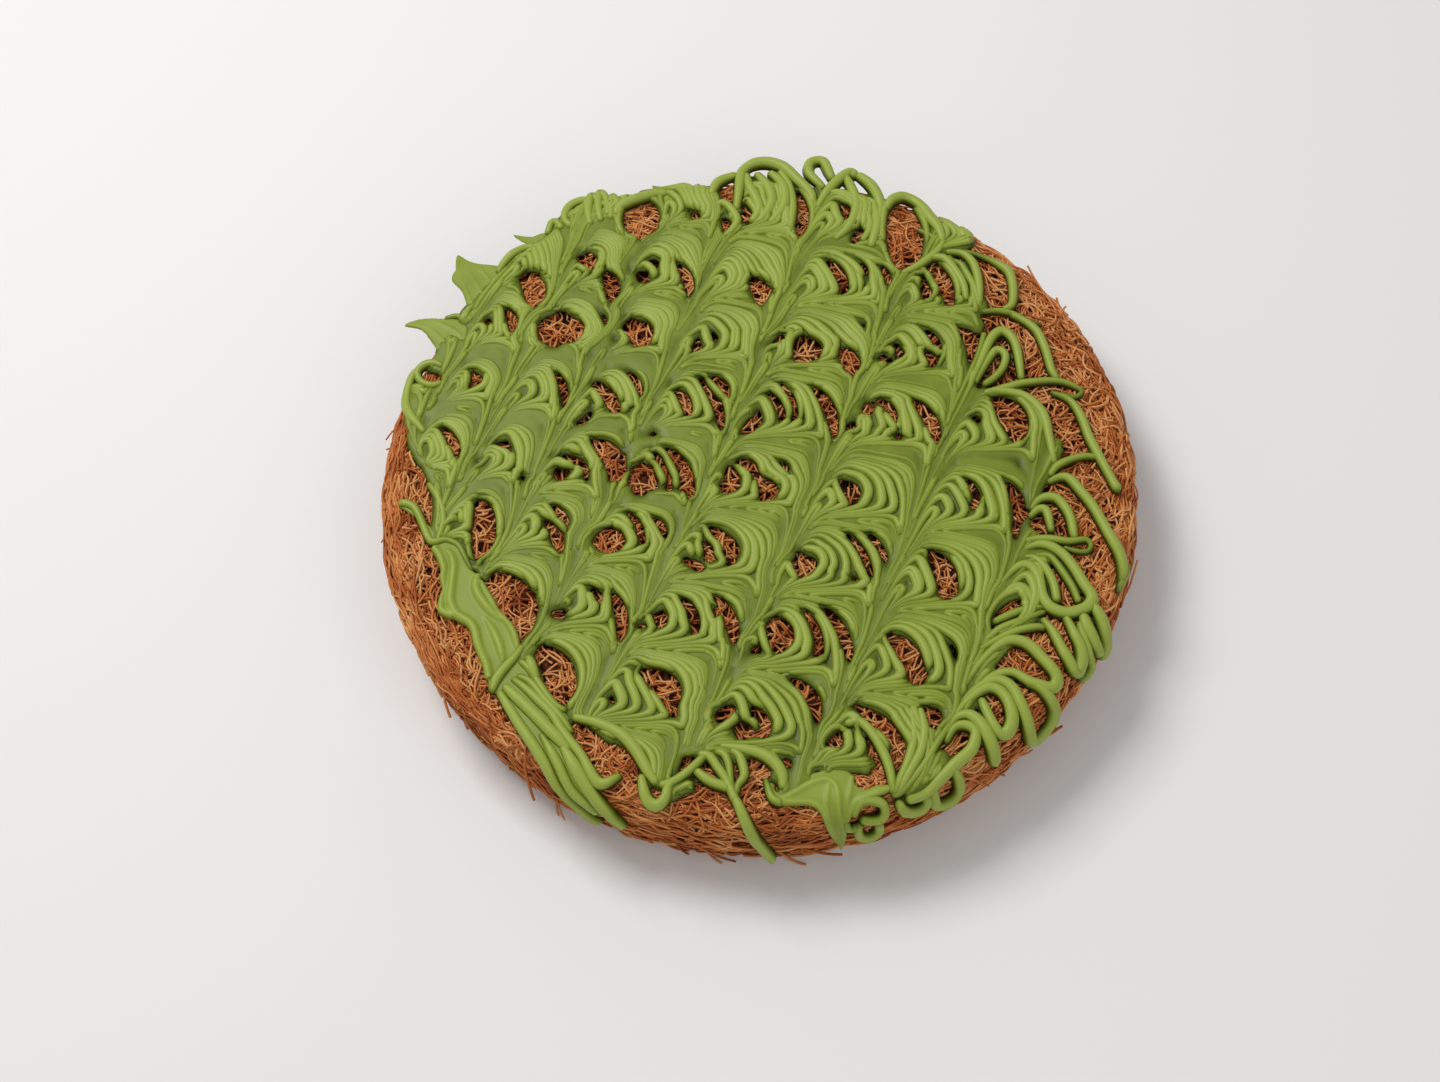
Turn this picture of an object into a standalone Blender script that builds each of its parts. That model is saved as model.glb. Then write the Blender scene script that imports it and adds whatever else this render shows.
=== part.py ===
"""Kunafa: a round of shredded kataifi pastry with pistachio cream piped over it and combed into a lace.

Units are metres, +Z is up, and the origin is the middle of the underside. The cream is worked out the way it is
made: one long zig-zag is piped across the round, a skewer is drawn through it along every row, and last along
every spine. Each stroke carries along the cream next to it and leaves the rest, and gaps open where it parts.
"""

import math

import bmesh
import bpy
import numpy as np

MM = 0.001
SEED = 7
EVENING_FACTOR = 0.5

# the pastry
CAKE_RADIUS = 0.117
CAKE_TOP = 0.032
RIM_ROUND = 0.007
FOOT_TUCK = 0.0035
TUCK_HEIGHT = 0.5 * CAKE_TOP
CORE_INSET = 0.003
CORE_STEPS = 72
RIM_STEPS = 5
PASTRY_VOXEL = 0.0013
PASTRY_EVENING = 1
PASTRY_TRIANGLES = 3450

# ropes of shredded pastry round its side: how thick, how far round in radians, and how high as shares of CAKE_TOP
ROPE_RADIUS = 0.0019
SIDE_ROPES = 90
SIDE_THICKNESS = (0.7, 1.3)
SIDE_SWEEP = (0.25, 0.9)
SIDE_LEVEL = (0.06, 0.84)
SIDE_SLOPE = 0.22
SIDE_WAVE = 0.0015
SIDE_WAVES = 9
SIDE_STATIONS = 24
SIDE_LEAST_STATIONS = 6
ROPE_TAPER = 0.08
ROPE_BLUNTNESS = 0.3

# ropes of shredded pastry strewn over its top
TOP_ROPES = 260
TOP_THICKNESS = (0.5, 0.8)
TOP_LENGTH = (0.014, 0.030)
TOP_BEND = 0.8
TOP_SINK = 0.0006
TOP_RISE = 0.0004
TOP_STATIONS = 7

# the piped cream
CREAM_GAP = 0.0004
PIPE_ANGLE = -74.2
PIPE_PITCH = 0.0078
PIPE_UNEVENNESS = 0.15
PIPE_STEP = 0.00005
PIPE_SPAN = 1.2 * CAKE_RADIUS
SHORTEST_RUN = 0.012
TURN_STEPS = 120
SWAYS = [(0.0003, 0.017), (0.0002, 0.007)]
STRAND_RADIUS = 0.0029
STRAND_HEIGHT = 0.0033
SKIN_RADIUS = 0.0042
SKIN_HEIGHT = 0.0013
EDGE_SKIN_RADIUS = 0.0030
SHEET_SQUASH = 0.42
CREAM_VOXEL = 0.0011
CREAM_EVENING = 4
CREAM_TRIANGLES = 10500
CREAM_SOFTENING = 1

# how the strands draw out: their radius falls with this power of the stretch, and below THINNEST they are gone
THINNING = 0.22
THINNEST = 0.0013
LEAST_STRETCH = 0.9
MOST_STRETCH = 60
FINE_STATION = 0.0006
STATION = 0.0015
REFINEMENTS = 2
MOST_SHARES = 60
STRETCH_WINDOW = 5

# by direction in degrees from the right: how far out the piping turns back, and how far out the combed cream
# reaches, in mm
CREAM_EDGE = [
    (0, 106, 97), (15, 107, 100), (33, 109, 107), (60, 114, 113), (75, 117, 118), (95, 117, 119), (100, 117, 120),
    (106, 117, 115), (112, 117, 120), (116, 117, 118), (120, 116, 115), (127, 113, 115), (134, 110, 113),
    (140, 107, 113), (150, 101, 112), (154, 100, 116), (158, 99, 115), (163, 98, 113), (168, 98, 106),
    (172, 97, 101), (180, 96, 98), (187, 97, 98), (194, 97, 97), (202, 98, 97), (211, 98, 98), (220, 98, 104),
    (232, 97, 106), (242, 102, 100), (248, 106, 110), (256, 108, 106), (268, 110, 110), (278, 113, 116),
    (290, 115, 112), (300, 116, 106), (308, 116, 101), (316, 115, 96), (326, 110, 94), (333, 105, 92),
    (341, 99, 95), (352, 102, 96), (360, 106, 97),
]
EDGE_SLACK = 0.004

# every stroke: its place in mm, its tilt and bend in mm at STROKE_SPAN along, and its strength
ROW_ANGLE = 165.4
ROW_START = 0.01
ROW_DRAG = (0.0285, 0.0021)
ROW_TAIL = (0.0023, 0.008)
ROWS = [
    (91, -0.3, 0, 0.9), (63.3, 2.5, -0.3, 0.9), (37.4, 2.1, 0.8, 1.15), (9.4, 0.7, -1.8, 1.33),
    (-16.9, 0, -0.4, 1), (-43.8, -3, -0.9, 1), (-71.3, -6.4, -1.1, 0.93), (-99.5, -4, -0.2, 1),
]
SPINE_ANGLE = 243
SPINE_DRAG = (0.0335, 0.00187)
SPINE_TAIL = (0.0005, 0.0055)
SPINES = [
    (-107.5, 0, -1.5, 0.95), (-87, 1.1, -0.7, 1.05), (-65.4, -1.4, -6, 1.15), (-41.2, -0.9, -3.7, 0.97),
    (-14.5, -1.7, -3.2, 0.87), (18.3, -2.1, -2.3, 1), (50.8, -0.5, -2, 1.12), (83, 1.6, -1.3, 1.1),
]
STROKE_SPAN = 0.08
RIB_RADIUS = 0.0017
RIB_STEP = 0.003

# the gaps between strands: both ends and the width in mm, and the bow in mm where it isn't a slight one
GAPS = [
    (-68, 87, -65.5, 72, 7), (-48.5, 92, -45.5, 85, 4.5), (-41.5, 84, -40.5, 70.8, 4.6),
    (-58, 70, -60, 55.5, 15), (-27, 112, -29, 95, 11.5, 0), (-0.5, 114, 3.5, 102, 5.5),
    (22, 110.5, 23.3, 87.9, 5), (6, 75, 8, 63, 5), (-36, 63.5, -30.7, 51.7, 8),
    (57.5, 98, 55.5, 69.5, 11.5, 1), (63, 73.8, 68.5, 54, 4.5), (75.5, 75, 83, 52, 7.5),
    (-48.5, 40.5, -42, 27.8, 3.6), (-50.5, 20, -42.5, 3, 6.5), (-61.8, 10.5, -60.8, 5, 4.8),
    (20.5, 50, 18.5, 38, 9), (31.5, 43.5, 34, 31.5, 5), (-35.5, 9.5, -37, -3.8, 8),
    (-27.5, 13.5, -21.5, -7, 3.6), (-8.3, 3.8, -10, -5.5, 4), (1.5, -1.5, 1.5, -11, 5.4),
    (69.5, 47, 71, 29.5, 4.6, 3), (78, 49, 84, 45, 4), (85, 44, 90, 23, 7.5), (77, 18.5, 82.5, 0.5, 8),
    (88, 19, 100, -5, 6), (51.5, 20.5, 56.7, 3.2, 3.6), (-86.5, 2.5, -88.5, -19.5, 7, 1.5),
    (-84, -24, -76.8, -49.5, 11, 3), (-47.4, -12.5, -48.5, -23, 9, 0), (-71.5, -50.5, -65, -72.5, 9),
    (25.2, -5.5, 28.5, -15.5, 4.6), (-17, -16.3, -11, -32, 4), (9, -29.5, 10.3, -38.5, 6.6),
    (-17.8, -40.5, -13.3, -59, 3.6), (-1, -50, 0, -63, 7.5), (96, -10, 99.5, -23, 9, 0),
    (74.9, -11.6, 74.7, -31.6, 3.6, 3), (49, -33.7, 52.3, -52.1, 6), (82.6, -43.7, 86.5, -57.4, 4.2),
    (73, -54.5, 63, -63, 5, 0), (-65.5, -77, -50, -108, 13, 0), (-42, -62.5, -33, -78.7, 7, 3),
    (1.2, -70.5, 8, -87.9, 3.6, 3), (-18.5, -78, -21, -83.5, 4), (-14, -95, -8.5, -103.5, 6),
    (19.5, -82, 28.8, -109.2, 5, 5), (32.5, -60, 39.5, -78.5, 6), (74, -67, 80, -80, 4, 1),
    (68, -82, 73, -95.5, 4), (39.5, -84.5, 42, -93, 5), (47.5, -92.5, 42, -99.5, 4),
]
SLIGHT_BOW = 0.09
GAP_TURNS = 3
GAP_MARGIN = 0.9 * STRAND_RADIUS
GAP_APPROACH = 0.002
GAP_NEIGHBOURHOOD = 0.008
NO_GAP_NEAR = 0.099

# behind on the left the cream stands out past the rim: round this direction, over this many degrees, and how
# much it droops for every square millimetre past the flat top
STIFF_DIRECTION = 139
STIFF_SPREAD = 20
STIFF_HOLD = 1.6
STIFF_DROOP = 0.000014

# strands that left the lace at its edge, and the loops they make over the rim: x, y and radius along each, in mm
EDGE_STRANDS = [
    [(90, -15, 1.8), (99, -19, 2.2), (102, -29, 2.2), (104, -46, 2.2), (101.5, -57, 1.4)],
    [(90, -10, 1.8), (99, -6.8, 2), (104.5, -8, 2.2), (109.5, -22, 2.2)],
    [(101, 14, 1.8), (103.5, 6, 2.2), (104.8, -9, 2.2)],
    [(90, 52, 1.8), (91, 44, 2), (97, 28, 2), (99, 20, 2), (103, 16, 2.6)],
    [(68, 79, 2), (76, 77.5, 2.2), (83, 72, 2.2), (88, 64, 2.2), (90, 54, 2.2)],
    [(54.5, 98, 2), (63, 98, 2.2), (68, 84, 2.2), (67, 79, 2)],
    [(6, 104, 2), (9, 119, 2.2), (20, 118.5, 2.2), (29, 105, 2)],
    [(-33, -97.5, 1.8), (-24.5, -104.5, 2.1), (-20, -105, 2.1)],
    [(-22, -99, 2), (-19.5, -105, 2.1), (-12.5, -126, 2.1), (-10.6, -136, 1.8)],
    [(-9, -106, 1.8), (-1, -112, 2.2), (6, -111.5, 2.4)],
    [(6, -104, 2.6), (10.5, -119, 2.4), (12.5, -126, 1.6)],
    [(-44.5, -92, 1.9), (-44.8, -102, 2), (-41, -108, 2.1), (-37, -101, 2), (-34, -98, 1.8)],
    [(15, -112, 2), (16, -119, 2.1), (19.5, -122.5, 2.2), (23, -118, 2.1), (24, -112, 2)],
    [(27, -108, 2), (29, -114.5, 2), (34, -116.5, 2.1), (37, -110, 2)],
    [(38.5, -104, 2), (41, -114.5, 2.1), (45, -116, 2.2), (46, -106, 2)],
    [(46, -91, 1.8), (52.5, -95.5, 2), (48, -101, 2), (38, -108, 2)],
    [(51, -88, 2), (56, -97, 2.1), (58, -104, 2.1)],
    [(63, -80, 2), (69, -94.5, 2.2), (73, -98.5, 2.2), (77.5, -90, 2.2), (71, -79, 2)],
    [(67, -66, 2), (75.5, -76, 2.1), (78, -83, 2.2)],
    [(76, -62, 1.9), (83.5, -71, 2.1), (86, -77.5, 2.1)],
    [(77, -42, 2), (81, -54, 2.2), (88, -60, 2.3), (92.5, -52, 2.2), (87, -41, 2)],
    [(93, -57, 1.9), (95.8, -66, 2.1), (95.3, -72, 2.1)],
    [(-60.5, -98, 2), (-50.5, -97.5, 2.1)],
    [(-114, 2.5, 2.3), (-111, 5, 2.2), (-107, 0, 2.1), (-104, -7.5, 2.1), (-99, -16, 2)],
    [(-85, -64, 2), (-77.5, -76, 2.2), (-71, -92, 2.1), (-62.5, -111, 2)],
    [(-82.5, -62.5, 2), (-73.5, -77, 2.2), (-66.5, -92.5, 2.1), (-60.5, -107, 2)],
    [(-78.5, -61.5, 2), (-68.5, -75.5, 2.1), (-62.5, -91, 2.2), (-54.5, -113, 2)],
    [(-74, -62, 2), (-65.5, -76.5, 2.1), (-59.5, -91, 2.1), (-55.5, -105, 2)],
    [(-50.5, 100, 2), (-51.5, 108, 2.1), (-46.5, 111, 2.1), (-46.5, 102, 2)],
]
LOOP_STATIONS = 24

# thin sheets: the pointed wings that the skewer pulled out behind, and the folded sheet in front on the left
SHEETS = [
    [(-98, -16, 3.5), (-95, -27, 4.5), (-92, -36, 6), (-86, -45, 5), (-82.5, -54, 5.5), (-80, -64, 5)],
    [(-80, 70, 7), (-82.5, 79, 7), (-85, 86, 5.5), (-88, 92, 3), (-90.5, 97.5, 1.6)],
    [(-85, 80, 4.5), (-89, 84, 2.8), (-92.5, 86, 1.6)],
    [(-88, 57, 6), (-94, 61, 6.5), (-99, 66.8, 4.3), (-103, 69.5, 2.6), (-108, 71.3, 1.6)],
    [(-56, 93, 5), (-60, 96, 4.2), (-64.5, 98.6, 3), (-72, 104, 1.6)],
    [(-19, 106, 2.5), (-18.5, 113, 3.2), (-22.5, 120.5, 1.8)],
]

draw = np.random.default_rng(SEED)


def direction(degrees):
    """Unit vector at this angle in the plan."""
    return np.array([math.cos(math.radians(degrees)), math.sin(math.radians(degrees))])


def left_of(vector):
    return np.array([-vector[1], vector[0]])


def lengths_along(points):
    return np.linalg.norm(np.diff(points, axis=0), axis=1)


def smooth_run(values, window):
    """Running mean with soft ends."""
    weights = np.hanning(window + 2)[1:-1]
    padded = np.pad(values, window, "edge")
    return np.convolve(padded, weights / weights.sum(), "same")[window:-window]


def along_curve(stops, count):
    """Points along a smooth curve through these stops, every column carried along, this many in all."""
    stops = np.array(stops, dtype=float)
    for _ in range(4):
        finer = np.empty((2 * len(stops) - 1, stops.shape[1]))
        padded = np.vstack([2 * stops[0] - stops[1], stops, 2 * stops[-1] - stops[-2]])
        finer[::2] = stops
        finer[1::2] = (9 * (padded[1:-2] + padded[2:-1]) - padded[:-3] - padded[3:]) / 16
        stops = finer
    travelled = np.concatenate([[0], np.cumsum(lengths_along(stops[:, :2]))])
    at = np.linspace(0, travelled[-1], count)
    return np.column_stack([np.interp(at, travelled, column) for column in stops.T])


def drape(x, y, lift):
    """Plan points laid on the round: flat on top, round the rim, then down the side, and lift away from it."""
    reach = np.hypot(x, y)
    flat = CAKE_RADIUS - RIM_ROUND
    turn = np.clip((reach - flat) / RIM_ROUND, 0, math.pi / 2)
    down = np.maximum(reach - flat - RIM_ROUND * math.pi / 2, 0)
    radius = np.minimum(reach, flat) + (RIM_ROUND + lift) * np.sin(turn)
    height = CAKE_TOP - RIM_ROUND + (RIM_ROUND + lift) * np.cos(turn) - down
    scale = radius / np.maximum(reach, 1e-9)
    return np.stack([x * scale, y * scale, height], axis=1)


def set_on_round(x, y, lift):
    """The cream laid on the round. Behind on the left it stands out past the rim and only droops a little."""
    laid = drape(x, y, lift)
    past = np.maximum(np.hypot(x, y) - CAKE_RADIUS + RIM_ROUND, 0) / MM
    off = np.abs(np.degrees(np.arctan2(y, x)) - STIFF_DIRECTION) / STIFF_SPREAD
    stiff = np.clip(STIFF_HOLD - off, 0, 1)[:, None]
    droop = np.stack([x, y, CAKE_TOP + lift - STIFF_DROOP * past**2], axis=1)
    return laid + stiff * (droop - laid)


def cream_edge(points, which):
    """How far out the cream goes in the direction of each point: as piped, 1, or as combed, 2."""
    edge = np.array(CREAM_EDGE).T
    return np.interp(np.degrees(np.arctan2(points[:, 1], points[:, 0])) % 360, edge[0], edge[which]) * MM


def held_back(points):
    """Cream that a stroke pushed past the edge piles up there instead of leaving the round."""
    reach = np.hypot(*points.T)
    start = cream_edge(points, 2) - EDGE_SLACK / 2
    past = np.maximum(reach - start, 0)
    kept = np.minimum(reach, start) + EDGE_SLACK * (1 - np.exp(-past / EDGE_SLACK))
    return points * (kept / np.maximum(reach, 1e-9))[:, None]


def round_turn(start, end, outward):
    """The half circle in which the piping turns back at the end of a run."""
    middle = (start + end) / 2
    bulge = np.linalg.norm(end - start) / 2
    sweep = np.linspace(0, math.pi, TURN_STEPS)[1:-1]
    return middle + np.outer(np.cos(sweep), start - middle) - np.outer(np.sin(sweep), outward * bulge)


def piped_zigzag():
    """The zig-zag as it leaves the bag: runs at PIPE_ANGLE, each joined to the next by a round turn."""
    run = direction(PIPE_ANGLE)
    across = left_of(run)
    t = np.arange(-PIPE_SPAN, PIPE_SPAN, PIPE_STEP)
    pieces = []
    offset = -CAKE_RADIUS - 2 * PIPE_PITCH
    while offset < CAKE_RADIUS + 2 * PIPE_PITCH:
        offset += PIPE_PITCH * (1 + PIPE_UNEVENNESS * draw.uniform(-1, 1))
        sway = sum(height * np.sin(t / length + draw.uniform(0, 2 * math.pi)) for height, length in SWAYS)
        line = np.outer(t, run) + np.outer(offset + sway, across)
        line = line[np.hypot(*line.T) < cream_edge(line, 1)]
        if len(line) * PIPE_STEP < SHORTEST_RUN:
            continue
        outward = run
        if len(pieces) % 4 == 2:
            line = line[::-1]
            outward = -run
        if pieces:
            pieces.append(round_turn(pieces[-1][-1], line[0], outward))
        pieces.append(line)
    return np.concatenate(pieces)


def stroke(points, origin, heading, bent, drag, tail):
    """Where the points end up after one stroke, which pulls hard close by and a little further off."""
    tilt, bend, strength = bent
    along = (points - origin) @ heading / STROKE_SPAN
    away = np.abs((points - origin) @ left_of(heading) - (tilt * along + bend * along**2) * MM)
    pull = strength * (drag[0] * np.exp(-away / drag[1]) + tail[0] * np.exp(-away / tail[1]))
    return points + np.outer(pull, heading)


def combed(points):
    """Where the piped points end up after every row and then every spine is combed."""
    rows = direction(ROW_ANGLE)
    for place, *bent in ROWS:
        points = stroke(points, np.array([ROW_START, place * MM]), rows, bent, ROW_DRAG, ROW_TAIL)
    spines = direction(SPINE_ANGLE)
    for place, *bent in SPINES:
        points = stroke(points, place * MM * left_of(spines), spines, bent, SPINE_DRAG, SPINE_TAIL)
    return points


def opened(points):
    """The points pushed out of every gap, and how far each then is from the nearest gap's edge."""
    room = np.full(len(points), NO_GAP_NEAR)
    for turn in range(GAP_TURNS):
        for x0, y0, x1, y1, width, *bow in GAPS:
            start, end = np.array([x0, y0]) * MM, np.array([x1, y1]) * MM
            middle = (start + end) / 2
            half = np.linalg.norm(end - start) / 2
            heading = (end - start) / (2 * half)
            reach = half + width * MM + GAP_NEIGHBOURHOOD
            near = np.flatnonzero(np.hypot(*(points - middle).T) < reach)
            along = (points[near] - middle) @ heading / half
            bulge = bow[0] * MM if bow else 2 * SLIGHT_BOW * half
            away = (points[near] - middle) @ left_of(heading) - bulge * (1 - along**2)
            gap = 0.5 * width * MM * np.sqrt(np.clip(1 - along**2, 0, 1))
            approach = along * half / (half + GAP_APPROACH)
            edge = gap + GAP_MARGIN * np.sqrt(np.clip(1 - approach**2, 0, 1))
            pushed = np.hypot(away, edge) if turn == 0 else np.maximum(np.abs(away), edge)
            points[near] += np.outer(np.where(away < 0, -1, 1) * pushed - away, left_of(heading))
            if turn == GAP_TURNS - 1:
                clear = np.hypot(pushed - gap, np.maximum(np.abs(along) - 1, 0) * half)
                room[near] = np.minimum(room[near], clear)
    return points, room


def combed_strands():
    """The combed zig-zag, cut where a gap opened or it is drawn out to nothing: points, radius and room."""
    piped = piped_zigzag()
    points = combed(piped)
    for _ in range(REFINEMENTS):
        shares = np.ceil(lengths_along(points) / FINE_STATION).clip(1, MOST_SHARES).astype(int)
        firsts = np.concatenate([[0], np.cumsum(shares)])
        at = np.interp(np.arange(firsts[-1] + 1), firsts, np.arange(len(piped)))
        piped = np.column_stack([np.interp(at, np.arange(len(piped)), column) for column in piped.T])
        points = combed(piped)
    length = lengths_along(points)
    stretch = smooth_run(np.append(length / np.maximum(lengths_along(piped), 1e-9), 1), STRETCH_WINDOW)
    radius = STRAND_RADIUS * np.clip(stretch, LEAST_STRETCH, MOST_STRETCH) ** -THINNING
    travelled = np.concatenate([[0], np.cumsum(length)])
    stations = np.arange(0, travelled[-1], FINE_STATION)
    points = np.column_stack([np.interp(stations, travelled, column) for column in points.T])
    radius = smooth_run(np.interp(stations, travelled, radius), STRETCH_WINDOW)
    kept = (radius > THINNEST) & (np.hypot(*points.T) < cream_edge(points, 2) + 2 * EDGE_SLACK)
    points, room = opened(held_back(points))
    cuts = np.flatnonzero((lengths_along(points) > 4 * FINE_STATION) | (kept[1:] != kept[:-1])) + 1
    pieces = zip(*[np.split(values, cuts) for values in (points, radius, room, kept)])
    step = round(STATION / FINE_STATION)
    return [(p[::step], r[::step], o[::step]) for p, r, o, k in pieces if k[0] and len(p) > 2 * step]


def material(name, colour, roughness):
    made = bpy.data.materials.new(name)
    made.use_nodes = True
    made.diffuse_color = (*colour, 1)
    shader = made.node_tree.nodes["Principled BSDF"]
    shader.inputs["Base Color"].default_value = (*colour, 1)
    shader.inputs["Roughness"].default_value = roughness
    return made


def placed(name, data):
    made = bpy.data.objects.new(name, data)
    bpy.context.scene.collection.objects.link(made)
    return made


def as_mesh(obj):
    """The object as the viewport shows it, made a plain mesh object of the same name."""
    bpy.context.view_layer.update()
    mesh = bpy.data.meshes.new_from_object(obj.evaluated_get(bpy.context.evaluated_depsgraph_get()))
    name = obj.name
    bpy.data.objects.remove(obj)
    return placed(name, mesh)


def tubes(name, paths):
    """A mesh of square-section tubes, one along each path, a pair of points and radii."""
    curve = bpy.data.curves.new(name, "CURVE")
    curve.dimensions = "3D"
    curve.bevel_depth = 1
    curve.bevel_resolution = 0
    curve.use_fill_caps = True
    for points, radii in paths:
        spline = curve.splines.new("POLY")
        spline.points.add(len(points) - 1)
        spline.points.foreach_set("co", np.column_stack([points, np.ones(len(points))]).ravel())
        spline.points.foreach_set("radius", np.asarray(radii, dtype=float))
    return as_mesh(placed(name, curve))


def evened(obj, passes):
    """The skin smoothed over this many times."""
    even = obj.modifiers.new("even", "SMOOTH")
    even.factor = EVENING_FACTOR
    even.iterations = passes
    return as_mesh(obj)


def melted(name, shapes, voxel, evening):
    """The shapes melted into one closed skin, evened out, without the scraps that came loose."""
    body = bmesh.new()
    for shape in shapes:
        body.from_mesh(shape.data)
        bpy.data.objects.remove(shape)
    mesh = bpy.data.meshes.new(name)
    body.to_mesh(mesh)
    body.free()
    made = placed(name, mesh)
    melt = made.modifiers.new("melt", "REMESH")
    melt.mode = "VOXEL"
    melt.voxel_size = voxel
    made = as_mesh(made)
    keep_largest_shell(made)
    return evened(made, evening)


def thinned(obj, triangles):
    """The same shape with about this many triangles, long ones along the ridges."""
    faces = sum(len(polygon.vertices) - 2 for polygon in obj.data.polygons)
    thin = obj.modifiers.new("thin", "DECIMATE")
    thin.ratio = triangles / faces
    thin.use_collapse_triangulate = True
    return as_mesh(obj)


def keep_largest_shell(obj):
    body = bmesh.new()
    body.from_mesh(obj.data)
    left = set(body.verts)
    shells = []
    while left:
        front = [left.pop()]
        shell = list(front)
        while front:
            for edge in front.pop().link_edges:
                for vertex in edge.verts:
                    if vertex in left:
                        left.remove(vertex)
                        front.append(vertex)
                        shell.append(vertex)
        shells.append(shell)
    shells.sort(key=len)
    for shell in shells[:-1]:
        bmesh.ops.delete(body, geom=shell, context="VERTS")
    body.to_mesh(obj.data)
    body.free()


def turned(name, profile, steps):
    """A round body turned from (radius, height) pairs, listed down the outside from the top of the axis."""
    line = bmesh.new()
    corners = [line.verts.new((radius, 0, height)) for radius, height in profile]
    for upper, lower in zip(corners, corners[1:]):
        line.edges.new((upper, lower))
    mesh = bpy.data.meshes.new(name)
    line.to_mesh(mesh)
    line.free()
    made = placed(name, mesh)
    screw = made.modifiers.new("turn", "SCREW")
    screw.steps = steps
    screw.render_steps = steps
    screw.use_merge_vertices = True
    screw.merge_threshold = 0.00001
    return as_mesh(made)


for leftover in list(bpy.data.objects):
    bpy.data.objects.remove(leftover)


# The round: a firm core, with ropes of shredded pastry wound round its side and strewn over its top.
def core_profile():
    top = CAKE_TOP - CORE_INSET
    radius = CAKE_RADIUS - CORE_INSET
    profile = [(0, top)]
    for turn in np.linspace(0, math.pi / 2, RIM_STEPS):
        bend = RIM_ROUND - CORE_INSET
        profile.append((radius - bend + bend * math.sin(turn), top - bend + bend * math.cos(turn)))
    profile += [(radius, TUCK_HEIGHT), (radius - FOOT_TUCK, 0), (0, 0)]
    return profile


def side_rope():
    """A bundle of strands lying along the side, sagging and climbing a little as it goes round."""
    start = draw.uniform(0, 2 * math.pi)
    sweep = draw.uniform(*SIDE_SWEEP)
    level = draw.uniform(*SIDE_LEVEL) * CAKE_TOP
    slope = draw.uniform(-SIDE_SLOPE, SIDE_SLOPE) * CAKE_TOP
    thick = ROPE_RADIUS * draw.uniform(*SIDE_THICKNESS)
    t = np.linspace(0, 1, max(SIDE_LEAST_STATIONS, round(sweep * SIDE_STATIONS)))
    angle = start + sweep * t
    height = level + slope * (t - 0.5) + SIDE_WAVE * np.sin(SIDE_WAVES * t + start)
    height = np.clip(height, thick, CAKE_TOP - thick)
    over = np.maximum(height - (CAKE_TOP - RIM_ROUND), 0)
    rim = RIM_ROUND - np.sqrt(np.maximum(RIM_ROUND**2 - over**2, 0))
    tuck = FOOT_TUCK * np.clip(1 - height / TUCK_HEIGHT, 0, 1)
    radius = CAKE_RADIUS - thick - rim - tuck
    points = np.stack([radius * np.cos(angle), radius * np.sin(angle), height], axis=1)
    return points, thick * np.sin(np.pi * np.clip(t, ROPE_TAPER, 1 - ROPE_TAPER)) ** ROPE_BLUNTNESS


def top_rope():
    """A bundle of strands lying on the top, bent a little one way."""
    reach = (CAKE_RADIUS - RIM_ROUND) * math.sqrt(draw.uniform(0, 1))
    where = draw.uniform(0, 2 * math.pi)
    heading = draw.uniform(0, 2 * math.pi)
    bend = draw.uniform(-TOP_BEND, TOP_BEND)
    length = draw.uniform(*TOP_LENGTH)
    thick = ROPE_RADIUS * draw.uniform(*TOP_THICKNESS)
    t = np.linspace(-0.5, 0.5, TOP_STATIONS)
    x = reach * math.cos(where) + length * t * np.cos(heading + bend * t)
    y = reach * math.sin(where) + length * t * np.sin(heading + bend * t)
    lift = -thick - TOP_SINK + TOP_RISE * np.cos(2 * math.pi * t)
    return drape(x, y, lift), np.full(TOP_STATIONS, thick)


pastry_skin = material("Kataifi_golden", (0.43, 0.17, 0.06), 0.7)
core = turned("core", core_profile(), CORE_STEPS)
ropes = tubes("ropes", [side_rope() for _ in range(SIDE_ROPES)] + [top_rope() for _ in range(TOP_ROPES)])
pastry = thinned(melted("kataifi_cake", [core, ropes], PASTRY_VOXEL, PASTRY_EVENING), PASTRY_TRIANGLES)
pastry.data.materials.append(pastry_skin)


# The cream: the combed strands on a low skin, a midrib on each spine, and what lies over the edge.
def spine_rib(place, tilt, bend, _):
    """The ridge that the skewer leaves along a spine."""
    heading = direction(SPINE_ANGLE)
    t = np.arange(-CAKE_RADIUS, CAKE_RADIUS, RIB_STEP)
    along = t / STROKE_SPAN
    line = np.outer(t, heading) + np.outer((place + tilt * along + bend * along**2) * MM, left_of(heading))
    line = line[np.hypot(*line.T) < cream_edge(line, 2)]
    return line, np.full(len(line), RIB_RADIUS)


def given(stops):
    """A path through stops of x, y and radius in mm."""
    path = along_curve(stops, LOOP_STATIONS) * MM
    return path[:, :2], path[:, 2]


def flat_tubes(name, paths, squash):
    """Tubes along plan paths, their heights scaled about the sheet that the strands lie on."""
    made = tubes(name, [(np.column_stack([points, np.zeros(len(points))]), radii) for points, radii in paths])
    for vertex in made.data.vertices:
        vertex.co.z *= squash
    return made


def laid_on_round(obj):
    """The flat lace pressed level underneath, then laid over the round with its small gap."""
    places = np.empty(3 * len(obj.data.vertices))
    obj.data.vertices.foreach_get("co", places)
    x, y, height = places.reshape(-1, 3).T
    laid = set_on_round(x, y, CREAM_GAP + np.maximum(height, 0))
    obj.data.vertices.foreach_set("co", laid.ravel())
    return obj


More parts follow.
